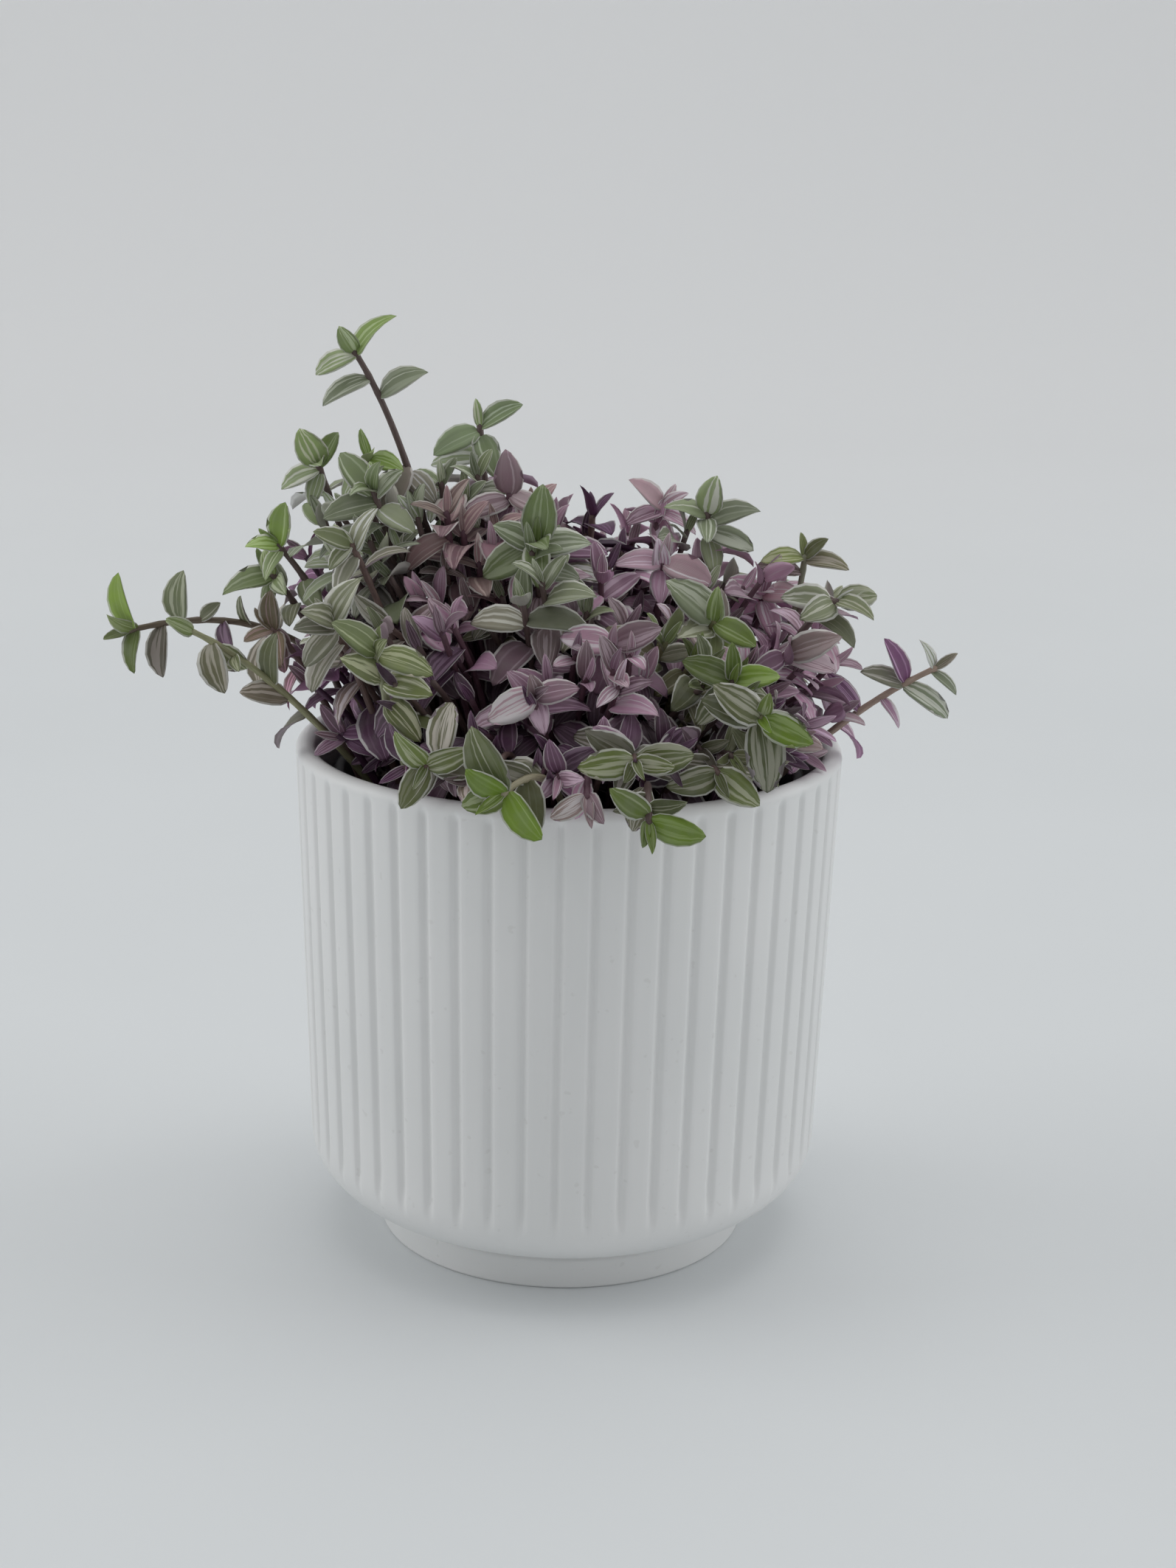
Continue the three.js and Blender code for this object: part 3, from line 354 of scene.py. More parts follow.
def on_blade(leaf, u, side, lift):
    """A point of a leaf: u of the way along an arc that bends away from the upper side by curl
    radians in all, then side along w, and lift along the arc's own normal."""
    bend = leaf.curl * u
    along = leaf.length * np.sin(bend) / leaf.curl
    drop = leaf.length * (1 - np.cos(bend)) / leaf.curl
    return (leaf.base + leaf.d * (along + lift * np.sin(bend))[..., None]
            + leaf.n * (lift * np.cos(bend) - drop)[..., None] + leaf.w * side[..., None])


FELT_U = np.append(np.repeat(0.02 + 0.125 * np.arange(1, 8), 4), 1.0)
FELT_V = np.append(np.tile([-0.85, -0.28, 0.28, 0.85], 7), 0.0)


def felt(leaf):
    """29 places on the leaf's outline, whose half width is 1.245 share length u^.55 (1-u)^.8."""
    half = FELT_V * 1.245 * leaf.share * leaf.length * FELT_U ** 0.55 * (1 - FELT_U) ** 0.8
    return on_blade(leaf, FELT_U, half * math.cos(leaf.fold), np.abs(half) * math.sin(leaf.fold))


def wanted(shoot):
    """The leaves that a shoot would like: its own list first, then plain pairs down the stem. The
    two of a pair stand opposite, and each pair a quarter turn on from the last and further down by
    its joints. With age a pair spreads to 86 degrees off the stem and grows to its full size."""
    draw = seeded(shoot.seed)
    listed, last = [], 0
    for down, clock, toward, size, *share in shoot.own:
        t = 1 - (down + 0.8) / shoot.length
        c, o = math.radians(clock), math.radians(toward)
        d = np.array([math.cos(o) * math.cos(c), -math.sin(o), math.cos(o) * math.sin(c)])
        facing = 0.6 * shoot.along(t) + np.array([0, -0.77, 0.21])
        curl = 0.35 + 0.5 * next(draw)
        d = d * math.cos(curl / 2) + across_of(facing, d) * math.sin(curl / 2)
        fold = 0.2 + 0.2 * next(draw)
        listed.append((t, d, facing, size, share[0] if share else 0.54, curl, fold, down))
        last = max(last, down)
    start = 2 if shoot.own else 0
    phase = FULL_TURN * next(draw)
    for k in range(shoot.more):
        pair = k // 2
        age = pair + start
        step, growth = shoot.joints
        down = (last + 7 if last else 0) + step * pair + growth * pair * pair + 1.6 * (k % 2)
        t = 1 - (down + 0.8) / shoot.length
        turn = phase + math.pi * k + 0.5 * math.pi * pair + 0.5 * (next(draw) - 0.5)
        spread = math.radians(86 - 58 * 0.45 ** age) + 0.25 * (next(draw) - 0.5)
        size = shoot.size * (1 - 0.4 * 0.4 ** age) * (0.88 + 0.28 * next(draw))
        share = (0.55 - 0.1 * 0.3 ** age) * shoot.slim
        curl = 0.3 + 0.5 * (1 - 0.4 ** age) + 0.3 * next(draw)
        fold = 0.2 + 0.2 * next(draw)
        if t < 0.28:
            continue
        stem = shoot.along(t)
        side = across_of(np.array([1.0, 0, 0] if abs(stem[2]) > 0.8 else [0, 0, 1.0]), stem)
        other = np.cross(stem, side)
        sideways = side * math.cos(turn) + other * math.sin(turn)
        d = stem * math.cos(spread) + sideways * math.sin(spread)
        facing = stem + shoot.out + np.array([0, 0, 0.45])
        listed.append((t, d, facing, size, share, curl, fold, down))
    return listed


# How a leaf that finds no room is turned, tilted and shortened, in turn
TRIES = [(0, 0, 1), (14, 0, 1), (-14, 0, 1), (0, 14, 1), (0, -14, 1), (28, 0, 0.9), (-28, 0, 0.9),
         (0, 28, 0.9), (0, -28, 0.9), (45, 12, 0.85), (-45, 12, 0.85), (0, 0, 0.7), (70, 0, 0.75),
         (-70, 0, 0.75)]


def clear_of_pots(places, margin):
    """Whether every place is above the rim, outside the pot above the ground, or over the soil."""
    x, y, z = places.T
    r = np.hypot(x, y)
    inside = (r < NURSERY_RIM_RADIUS - 3 - margin) & (z > SOIL_TOP + SOIL_RISE + margin)
    outside = (r > RIM_RADIUS + margin) & (z > 1)
    return bool(((z > POT_HEIGHT + margin) | outside | inside).all())


def candidates(shoot, row):
    """The leaf that a row of the wanted ones asks for, and then the same one turned, tilted or
    shortened by each of TRIES in turn."""
    t, d0, facing, size, share, curl, fold, down = row
    base = shoot.at(t) + across_of(d0, shoot.along(t)) * ROOTING
    n0 = across_of(facing, d0)
    w0 = np.cross(d0, n0)
    for turn, tilt, scale in TRIES:
        d = turned(turned(d0, n0, math.radians(turn)), w0, math.radians(tilt))
        leaf = Leaf(base, d, across_of(facing, d), size * scale, share, curl, fold)
        leaf.down = down
        yield leaf


def grow(shoots):
    """Grows each shoot's leaves in turn. Each is the first of its candidates that keeps its felt
    places clear of the pots, of other stems and of the leaves taken so far."""
    stems = stem_places(shoots)
    taken = {"places": np.zeros((0, len(FELT_U), 3)), "own": np.zeros(0),
             "middle": np.zeros((0, 3))}
    margins = np.where(np.arange(len(FELT_U)) < 4, 0.8, 1.5)
    for shoot in shoots:
        for k, row in enumerate(wanted(shoot)):
            for leaf in candidates(shoot, row):
                places = felt(leaf)
                if not clear_of_pots(places, margins):
                    continue
                near = np.linalg.norm(stems["places"] - leaf.base, axis=1) < STEM_REACH
                others = stems["places"][near & (stems["own"] != shoot.seed)]
                apart = np.linalg.norm(places[:, None] - others, axis=2)
                if len(others) and apart.min() < STEM_GAP:
                    continue
                if not clear_of_leaves(places, shoot.seed, taken):
                    continue
                leaf.listed = k
                shoot.leaves.append(leaf)
                middle = on_blade(leaf, np.array(0.5), np.array(0.0), np.array(0.0))
                for key, value in (("places", places), ("own", shoot.seed), ("middle", middle)):
                    taken[key] = np.concatenate([taken[key], [value]])
                break


def clear_of_leaves(places, own, taken):
    """Whether the places keep LEAF_GAP from others' leaves and, past the base, OWN_GAP from own."""
    reach = np.linalg.norm(places[:, None] - taken["middle"], axis=2) <= LEAF_REACH
    near = np.flatnonzero(reach.any(axis=0))
    if not len(near):
        return True
    apart = np.linalg.norm(places[:, None, None] - taken["places"][near], axis=3)
    mine = taken["own"][near] == own
    least = apart.min(axis=2)
    if (least[:, ~mine] < LEAF_GAP)[reach[:, near][:, ~mine]].any():
        return False
    least = apart[8:, mine, 8:].min(axis=2) if mine.any() else np.zeros((21, 0))
    return not (least < OWN_GAP)[reach[8:, near][:, mine]].any()


def stem_places(shoots):
    """Points every 1.6 mm or less along every stem, each with its shoot's seed."""
    lists = [s.at(np.linspace(0, 1, math.ceil(s.length / 1.6) + 1)) for s in shoots]
    own = np.concatenate([np.full(len(p), s.seed) for s, p in zip(shoots, lists)])
    return {"places": np.concatenate(lists), "own": own}


def ring_shoots():
    """The shoots of the middle, back and far sides: FILL_RINGS about the axis, a little uneven."""
    draw = seeded(11)
    rows = {}
    for name, (reach0, height0, step, start, count, tone) in FILL_RINGS.items():
        for k in range(count):
            turn = math.radians(start + step * k + 10 * (next(draw) - 0.5))
            reach = reach0 + 8 * (next(draw) - 0.5)
            height = height0 + 12 * (next(draw) - 0.5)
            x, y = math.cos(turn), math.sin(turn)
            rise = 5 + 0.18 * (height - SOIL_TOP)
            root, bend, tip = ((part * reach * x, part * reach * y) for part in (0.56, 0.74, 1))
            rows[f"{name}_{k + 1}"] = (root, (*bend, height - rise), (*tip, height), tone, 5, [])
    return rows


rows = {**SHOOTS, **ring_shoots()}
main_shoots = [Shoot(name, *row, 101 + 17 * k) for k, (name, row) in enumerate(rows.items())]
grow(main_shoots)

crown = [s for s in main_shoots if s.name not in STANDING_OUT]
crown_points = np.array([*(shoot.tip for shoot in crown), *CROWN_GUIDES])


def canopy(x, y):
    """The crown's height over a place: its shoots' tips and guides, weighed by
    1 / (distance^2 + 30)^2."""
    apart = (np.asarray(x)[..., None] - crown_points[:, 0]) ** 2
    weight = (apart + (np.asarray(y)[..., None] - crown_points[:, 1]) ** 2 + 30) ** -2.0
    return (weight * crown_points[:, 2]).sum(-1) / weight.sum(-1)


class Room:
    """Cells of 1 mm over the crown, marked where a leaf or stem already is or nearly touches."""

    LOW = np.array([-125, -95, 100])
    BALL = np.array([(0, 0, 0), *np.eye(3), *-np.eye(3)], int)

    def __init__(self):
        self.cells = np.zeros((250, 190, 150), bool)

    def spots(self, places):
        """The cells that hold the places."""
        return np.clip(np.floor(places).astype(int) - self.LOW, 1, np.array(self.cells.shape) - 2)

    def mark(self, places):
        """Marks each place's cell and its six neighbours."""
        x, y, z = (self.spots(places)[..., None, :] + self.BALL).reshape(-1, 3).T
        self.cells[x, y, z] = True

    def filled(self, places):
        """How many of the places fall in marked cells."""
        x, y, z = self.spots(places).reshape(-1, 3).T
        return int(self.cells[x, y, z].sum())


room = Room()
for shoot in main_shoots:
    room.mark(shoot.at(np.linspace(0, 1, 120)))
    for leaf in shoot.leaves:
        room.mark(felt(leaf))


def rim_sprouts():
    """Small shoots that lean to the rim, in RIM_ROWS, each one moved a little by chance."""
    draw = seeded(303)
    made = 0
    for count, first, last, reach0, height0, tone, size, slim in RIM_ROWS:
        for k in range(count):
            turn = math.radians(first + (last - first) * (k + 0.5 * next(draw)) / count)
            reach, height = reach0 + 9 * (next(draw) - 0.5), height0 + 7 * (next(draw) - 0.5)
            x, y = math.cos(turn), math.sin(turn)
            root, bend, tip = ((part * reach * x, part * reach * y) for part in (0.55, 0.8, 1))
            yield Shoot(f"rim_growth_{made}", root, (*bend, height + 5), (*tip, height), tone, 10,
                        [], 9001 + 17 * made, (2.6, 0.8), size, slim, (0.8 * x, 0.8 * y, 0))
            made += 1


def tufts():
    """The listed tufts, each from a root under its tip, facing the front."""
    for k, (tip, tone) in enumerate(TUFTS):
        x, y, height = tip
        size, tint = (16.5, ROSY_BROWN) if tone == "pink" else (13.5, (1, 1, 1))
        shoot = Shoot(f"tuft_{k}", (0.6 * x, 0.6 * y + 4), (x + 2, y + 5, 0.6 * height + 52), tip,
                      tone, 8, [], 7001 + 17 * k, (3.2, 0.9), size, 1.0, (-0.1, -0.8, 0))
        shoot.tint = np.array(tint)
        yield shoot


def inner_shoots():
    """Small shoots spread evenly over the crown by the golden angle, r = 70 sqrt(k / count), whose
    tips stop near the canopy and take the tone of the nearest main shoot. Of six bends each takes
    the one that meets the fewest leaves."""
    draw = seeded(77)
    for k in range(FILL_SHOOTS):
        turn = GOLDEN_ANGLE * k + 0.3 * (next(draw) - 0.5)
        reach = FILL_REACH * math.sqrt((k + 0.5) / FILL_SHOOTS)
        x, y = reach * math.cos(turn), reach * math.sin(turn)
        height = float(canopy(x, y)) - 1.5 - 17 * next(draw) ** 1.6
        if reach > 50:
            height = max(height, POT_HEIGHT + 6)
        nearest = min(crown, key=lambda near: math.hypot(near.tip[0] - x, near.tip[1] - y))
        tries = []
        for _ in range(6):
            lean = 0.5 + 0.25 * next(draw)
            bend = (lean * x + 9 * (next(draw) - 0.5), lean * y + 9 * (next(draw) - 0.5),
                    0.55 * height + 52)
            tries.append(Shoot(f"inner_growth_{k}", (0.6 * x, 0.6 * y), bend, (x, y, height),
                               nearest.tone, 10, [], 5000 + 17 * k, (4.6, 0.55), 16.5, 1.0,
                               0.8 * unit(np.array([x, y, 0]))))
        yield min(tries, key=lambda shoot: room.filled(shoot.at(np.linspace(0.1, 1, 60))))


def fill_in(shoots):
    """Grows the small shoots' leaves where there is room for them, and none whose middle, the
    felt place 14, is in a hollow."""
    for shoot in shoots:
        for row in wanted(shoot):
            for leaf in candidates(shoot, row):
                places = felt(leaf)
                if (np.linalg.norm(places[14] - HOLES, axis=1) < HOLE_RADII).any():
                    continue
                if clear_of_pots(places[4:], 0.6) and not room.filled(places[6:]):
                    shoot.leaves.append(leaf)
                    room.mark(places[4:])
                    break


small_shoots = []
for kind in (rim_sprouts, tufts, inner_shoots):
    for shoot in kind():
        room.mark(shoot.at(np.linspace(0, 0.97, 60)))
        small_shoots.append(shoot)
fill_in(small_shoots)


def openness(places):
    """How open each place is: over 25 directions spread by the golden angle from straight up to a
    little below level, the mean of exp(-m / 3), with m the marked cells met every 2 mm from 5 to
    49 mm."""
    k = np.arange(25)
    rise = 1 - 1.25 * (k + 0.5) / len(k)
    level = np.sqrt(1 - rise ** 2)
    turn = GOLDEN_ANGLE * k
    ways = np.stack([level * np.cos(turn), level * np.sin(turn), rise], axis=1)
    steps = places[:, None, None] + ways[:, None] * np.arange(5, 50, 2)[:, None]
    x, y, z = np.moveaxis(room.spots(steps), -1, 0)
    return np.exp(-room.cells[x, y, z].sum(axis=2) / 3).mean(axis=1)


# Painted shade: each leaf gets a share of painted shade, darker and more purple, by how closed in
# it is above its middle.
for shoot in main_shoots + small_shoots:
    above = [leaf.base + leaf.d * 0.5 * leaf.length + leaf.n * 2 for leaf in shoot.leaves]
    for leaf, light in zip(shoot.leaves, openness(np.reshape(above, (-1, 3)))):
        leaf.gloom = 1 - float(smooth(light, 0.12, 0.5))


# Meshes

def make_piece(name, points, faces, materials, slot, replaces=None):
    """A smooth mesh piece in metres from points in millimetres. With a slot, whatever its name, it
    is put under the root body.
    """
    mesh = bpy.data.meshes.new(name)
    mesh.from_pydata((np.asarray(points) * MM).tolist(), [], faces)
    for material in materials:
        mesh.materials.append(material)
    mesh.polygons.foreach_set("use_smooth", np.full(len(mesh.polygons), True))
    mesh.update()
    piece = bpy.data.objects.new(name, mesh)
    bpy.context.scene.collection.objects.link(piece)
    if slot:
        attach(piece, "root")
    if replaces:
        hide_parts(replaces)
    return piece


def grid_faces(rows, columns):
    """Quads of a grid whose columns close on themselves, with points listed row by row."""
    r, c = np.meshgrid(np.arange(rows - 1), np.arange(columns), indexing="ij")
    a, b = r * columns + c, r * columns + (c + 1) % columns
    return np.stack([a, b, b + columns, a + columns], axis=-1).reshape(-1, 4)


def end_fans(rows, columns):
    """Triangles that close a grid's first row on the point after the grid, and its last row on the
    point after that."""
    k = np.arange(columns)
    after, last = (k + 1) % columns, (rows - 1) * columns
    ends = np.full((2, columns), rows * columns) + [[0], [1]]
    low = np.stack([ends[0], after, k], axis=1)
    return low, np.stack([ends[1], last + k, last + after], axis=1)


def closed_faces(rows, columns):
    """All faces of a tube of rings that closes on a point at each end, as one list."""
    parts = (grid_faces(rows, columns), *end_fans(rows, columns))
    return [face for part in parts for face in part.tolist()]


def revolved(profile, turns, depth=0.0):
    """A closed surface turned about +Z. The profile of (r, z) runs from the axis below, out and
    up, and back to the axis above. depth is taken off r at every inner profile point and turn."""
    r, z = np.asarray(profile, float)[1:-1, :, None].swapaxes(0, 1)
    radius = r - depth + 0 * turns
    points = np.stack([radius * np.cos(turns), radius * np.sin(turns), z + 0 * radius], axis=-1)
    ends = [[0, 0, profile[0][1]], [0, 0, profile[-1][1]]]
    return np.concatenate([points.reshape(-1, 3), ends]), closed_faces(len(r), len(turns))


def arc(centre_r, centre_z, across, down, first, last, count):
    """Points of an ellipse arc: centre + (across cos a, down sin a), with a in degrees."""
    a = np.radians(np.linspace(first, last, count))
    return np.stack([centre_r + across * np.cos(a), centre_z + down * np.sin(a)], axis=1)


def set_attribute(mesh, name, kind, values):
    """Writes one value or colour for each vertex."""
    layer = mesh.attributes.new(name, kind, "POINT")
    field = "color" if kind == "FLOAT_COLOR" else "value"
    layer.data.foreach_set(field, np.asarray(values, np.float32).ravel())


def round_turns(count):
    """Even turns about an axis, the last one short of the first."""
    return np.linspace(0, 2 * math.pi, count + 1)[:-1]


# Materials

class Flow:
    """A value that flows through a material. Arithmetic on it adds Math nodes."""

    def __init__(self, paint, socket):
        self.paint, self.socket = paint, socket

    def __add__(self, other):
        return self.paint.sum_of("ADD", self, other)

    def __sub__(self, other):
        return self.paint.sum_of("SUBTRACT", self, other)

    def __rsub__(self, other):
        return self.paint.sum_of("SUBTRACT", other, self)

    def __mul__(self, other):
        return self.paint.sum_of("MULTIPLY", self, other)

    __radd__, __rmul__ = __add__, __mul__


class Paint:
    """A material in the making."""

    def __init__(self, name):
        self.material = bpy.data.materials.new(name)
        self.material.use_nodes = True
        self.nodes, self.links = self.material.node_tree.nodes, self.material.node_tree.links
        self.nodes.clear()

    def add(self, kind, settings=None, inputs=None, output=0):
        """Adds a node: its settings first, then its sockets' values or links."""
        node = self.nodes.new("ShaderNode" + kind)
        for key, value in (settings or {}).items():
            setattr(node, key, value)
        for key, value in (inputs or {}).items():
            if isinstance(value, Flow):
                self.links.new(value.socket, node.inputs[key])
            else:
                node.inputs[key].default_value = value
        return Flow(self, node.outputs[output])

    def sum_of(self, operation, a, b=0.0):
        """A Math node's result for one or two numbers."""
        return self.add("Math", {"operation": operation}, {0: a, 1: b})

    def ease(self, value, low, high):
        """0 below low, 1 above high, and smooth between them."""
        return self.add("MapRange", {"interpolation_type": "SMOOTHSTEP"},
                        {"Value": value, "From Min": low, "From Max": high})

    def mix(self, factor, a, b):
        """From colour a to colour b by a factor."""
        return self.add("Mix", {"data_type": "RGBA"}, {0: factor, 6: a, 7: b}, output=2)

    def noise(self, vector, scale, detail, roughness=0.5):
        """Soft noise about 0.5. A higher scale has shorter waves, and detail adds finer ones."""
        return self.add("TexNoise", None, {"Vector": vector, "Scale": scale, "Detail": detail,
                                           "Roughness": roughness})

    def place(self):
        """Where a point is on its object, in metres."""
        return self.add("TexCoord", None, None, "Object")

    def part(self, vector, axis):
        """One of a vector's three numbers."""
        return self.add("SeparateXYZ", None, {"Vector": vector}, axis)

    def carried(self, name, output="Color"):
        """What the mesh carries at its points under a name."""
        return self.add("Attribute", {"attribute_name": name}, None, output)

    def bump(self, height, strength, distance):
        """A surface direction that follows a relief of a distance in metres."""
        return self.add("Bump", None,
                        {"Height": height, "Strength": strength, "Distance": distance})

    def finish(self, **inputs):
        """The surface itself, with constants set on its own sockets."""
        named = {key.replace("_", " "): value for key, value in inputs.items()}
        surface = self.add("BsdfPrincipled", None, named)
        out = self.nodes.new("ShaderNodeOutputMaterial")
        self.links.new(surface.socket, out.inputs["Surface"])
        return self.material


def rgb(r, g, b):
    """A plain opaque colour."""
    return (r, g, b, 1.0)


def leaf_skin():
    """Leaf: pale stripes of uneven width that meet at both ends, a pale rib and side lines, a thin
    pale margin, fine veins, and a plain underside. Across the blade the map runs 0..1 above and
    2..3 below, and each leaf's chance picks which of them it has."""
    p = Paint("leaf_skin")
    where = p.add("UVMap", {"uv_map": "blade_map"})
    u, v = p.part(where, "X"), p.part(where, "Y")
    chance = p.carried("chance", "Fac")
    under = p.ease(v, 1.4, 1.6)
    across = (v - under * 2.0) * 2.0 - 1.0
    edge = p.sum_of("ABSOLUTE", across)
    broad_at, fine_at = (
        p.add("CombineXYZ", None, {"X": across * wide + chance * x, "Y": u * far, "Z": chance * z})
        for wide, far, x, z in ((3.3, 0.7, 37.0, 91.0), (9.0, 1.5, 17.0, 23.0)))
    broad, fine = p.noise(broad_at, 1.0, 1.0), p.noise(fine_at, 1.0, 2.0)
    wander = (fine - 0.5) * 0.14 + (broad - 0.5) * 0.12
    first, second, third, fourth, fifth = (p.sum_of("FRACT", chance * k)
                                           for k in (5.17, 7.31, 3.37, 9.13, 12.7))
    light = p.ease(broad + (fine - 0.5) * 0.3, 0.50, 0.58) * p.ease(chance, 0.15, 0.7)
    rib = (1.0 - p.ease(edge + wander, 0.02, 0.04 + third * 0.06)) * p.ease(fourth, 0.2, 0.8)
    light = p.sum_of("MAXIMUM", light, rib)
    for side, away, width, shown in ((-1.0, first, second, third), (1.0, second, third, first)):
        off = p.sum_of("ABSOLUTE", across + wander + side * (0.28 + away * 0.3))
        line = 1.0 - p.ease(off, 0.02, 0.05 + width * 0.10)
        light = p.sum_of("MAXIMUM", light, line * p.ease(shown, 0.1, 0.7))
    start = 0.77 + fifth * 0.13
    margin = p.ease(edge + wander * 0.4 - start, 0.0, 0.07) * (0.6 + second * 0.4)
    stripe, blade, below = (p.carried(name) for name in ("stripe", "blade", "under"))
    mottle = p.ease(p.noise(p.place(), 260.0, 3.0), 0.35, 0.7)
    face = p.mix(light * 0.72, p.mix(mottle * 0.2, blade, rgb(0.26, 0.27, 0.23)), stripe)
    face = p.mix(margin, face, p.mix(0.68, stripe, rgb(0.90, 0.895, 0.84)))
    back = p.mix(p.ease(fine, 0.45, 0.7) * 0.35, below, stripe)
    veins = p.add("TexWave", {"wave_type": "BANDS"},
                  {"Vector": fine_at, "Scale": 0.55, "Distortion": 0.6})
    return p.finish(Base_Color=p.mix(under, face, back), Roughness=0.42 + fine * 0.14, IOR=1.42,
                    Normal=p.bump(veins * 0.4 + fine * 0.6, 0.30, 0.0004))


def stem_skin():
    """Stem: the shoot's own colour, streaked lengthwise, a little darker and lighter in turns."""
    p = Paint("stem_skin")
    where = p.add("UVMap", {"uv_map": "blade_map"})
    drawn_out = p.add("VectorMath", {"operation": "MULTIPLY"}, {0: where, 1: (2.0, 14.0, 1.0)})
    streaks = p.noise(drawn_out, 1.6, 3.0)
    specks = p.noise(p.place(), 900.0, 3.0)
    colour = p.mix(p.ease(streaks, 0.42, 0.72) * 0.5, p.carried("blade"), p.carried("stripe"))
    return p.finish(Base_Color=colour, Roughness=0.45 + specks * 0.15,
                    Normal=p.bump(streaks, 0.25, 0.0003))


def ceramic_glaze():
    """Satin white glaze: a faint cloudiness, tiny pits and a soft uneven gloss."""
    p = Paint("ceramic_glaze")
    cloud = p.noise(p.place(), 22.0, 3.0)
    grain = p.noise(p.place(), 1400.0, 2.0)
    pits = p.ease(p.noise(p.place(), 420.0, 1.0), 0.70, 0.78)
    colour = p.mix(p.ease(cloud, 0.3, 0.7), rgb(0.80, 0.805, 0.80), rgb(0.835, 0.835, 0.83))
    colour = p.mix(pits * 0.25, colour, rgb(0.62, 0.61, 0.59))
    return p.finish(Base_Color=colour, Roughness=0.40 + cloud * 0.10, Coat_Weight=0.12,
                    Coat_Roughness=0.3, Normal=p.bump(grain * 0.5 + cloud * 0.5, 0.06, 0.0003))


def black_plastic():
    """Nursery pot: black, faintly grained, with dust that dulls it in patches."""
    p = Paint("black_plastic")
    dust = p.noise(p.place(), 60.0, 4.0)
    grain = p.noise(p.place(), 1500.0, 2.0)
    colour = p.mix(p.ease(dust, 0.5, 0.75) * 0.4, rgb(0.012, 0.012, 0.013), rgb(0.05, 0.045, 0.04))
    return p.finish(Base_Color=colour, Roughness=0.42 + dust * 0.25,
                    Normal=p.bump(grain, 0.15, 0.0002))


def moist_peat():
    """Peat: dark brown crumbs and a few paler grains."""
    p = Paint("moist_peat")
    lumps = p.noise(p.place(), 420.0, 5.0, 0.65)
    grains = p.ease(p.noise(p.place(), 900.0, 2.0), 0.64, 0.7)
    colour = p.mix(p.ease(lumps, 0.35, 0.7), rgb(0.014, 0.010, 0.008), rgb(0.06, 0.042, 0.03))
    colour = p.mix(grains * 0.5, colour, rgb(0.12, 0.09, 0.065))
    return p.finish(Base_Color=colour, Roughness=0.95, Normal=p.bump(lumps, 0.9, 0.001))


LEAF, STEM = leaf_skin(), stem_skin()


# Leaves and stems

RINGS, SECTION = 6, 8
RING_U = np.array([0.05, 0.18, 0.36, 0.56, 0.75, 0.91])
SECTION_V = np.array([-1, -0.52, 0, 0.52, 1, 0.52, 0, -0.52])
SECTION_SIDE = np.array([0, 1, 1, 1, 0, -1, -1, -1])


def stack(leaves):
    """Many leaves as one, each field an array with two spare axes for the grid."""
    many = Leaf.__new__(Leaf)
    for field in ("base", "d", "n", "w", "length", "share", "curl", "fold"):
        setattr(many, field, np.array([getattr(leaf, field) for leaf in leaves])[:, None, None])
    return many


def fine_leaves(leaves, waves):
    """Fine closed leaves, as rings of eight points from base to tip and a point at each end, with
    their faces and map places. The half width is 1.24 share length u^.5 (1-u)^.75, the section a
    shallow U, the thickness falls to nothing at the margin, the margin waves a little and the tip
    hooks down. Each blade twists about its midrib by up to 0.45 u^1.5, and its midrib bows
    sideways by up to 7 % of its length."""
    leaf = stack(leaves)
    u, v = RING_U[:, None], SECTION_V
    lot = waves[:, None, None]
    half = 1.24 * leaf.share * leaf.length * u ** 0.5 * (1 - u) ** 0.75
    cup = half * np.sin(leaf.fold) * (0.3 * np.abs(v) + 0.7 * v ** 2)
    wave = 0.026 * leaf.length * np.sin(5.2 * u + lot) * v * np.abs(v)
    body = 0.5 * BLADE_THICKNESS * SECTION_SIDE * (1 - 0.55 * u)
    twist = 0.45 * np.sin(3 * lot) * u ** 1.5
    bow = 0.07 * leaf.length * np.sin(2 * lot + 1)
    across, lift = v * half * np.cos(leaf.fold), cup + wave + body
    c, s = np.cos(twist), np.sin(twist)
    rings = on_blade(leaf, u + 0 * v, across * c - lift * s + bow * u ** 2,
                     across * s + lift * c - 0.05 * leaf.length * u ** 5)
    flat = np.zeros((len(leaves), 1, 1))
    base = on_blade(leaf, flat, flat, flat)
    tip = on_blade(leaf, flat + 1, flat + bow, flat - 0.05 * leaf.length)
    each = RINGS * SECTION + 2
    points = np.concatenate([rings.reshape(len(leaves), -1, 3), base[:, 0], tip[:, 0]], axis=1)
    map_u = np.concatenate([np.repeat(RING_U, SECTION), [0.0, 1.0]])
    map_v = np.concatenate([np.tile(SECTION_V, RINGS), [0.0, 0.0]]) * 0.5 + 0.5
    shift = np.arange(len(leaves))[:, None, None] * each
    lists, uvs = [], []
    for faces in (grid_faces(RINGS, SECTION), *end_fans(RINGS, SECTION)):
        side = SECTION_SIDE[faces % SECTION] * (faces < each - 2)
        below = (side.sum(axis=1) < 0)[:, None]
        uv = np.stack([map_u[faces], map_v[faces] + 2.0 * below], axis=-1).reshape(-1, 2)
        lists.append((faces[None] + shift).reshape(-1, faces.shape[1]))
        uvs.append(np.tile(uv, (len(leaves), 1)))
    return points.reshape(-1, 3), lists, uvs


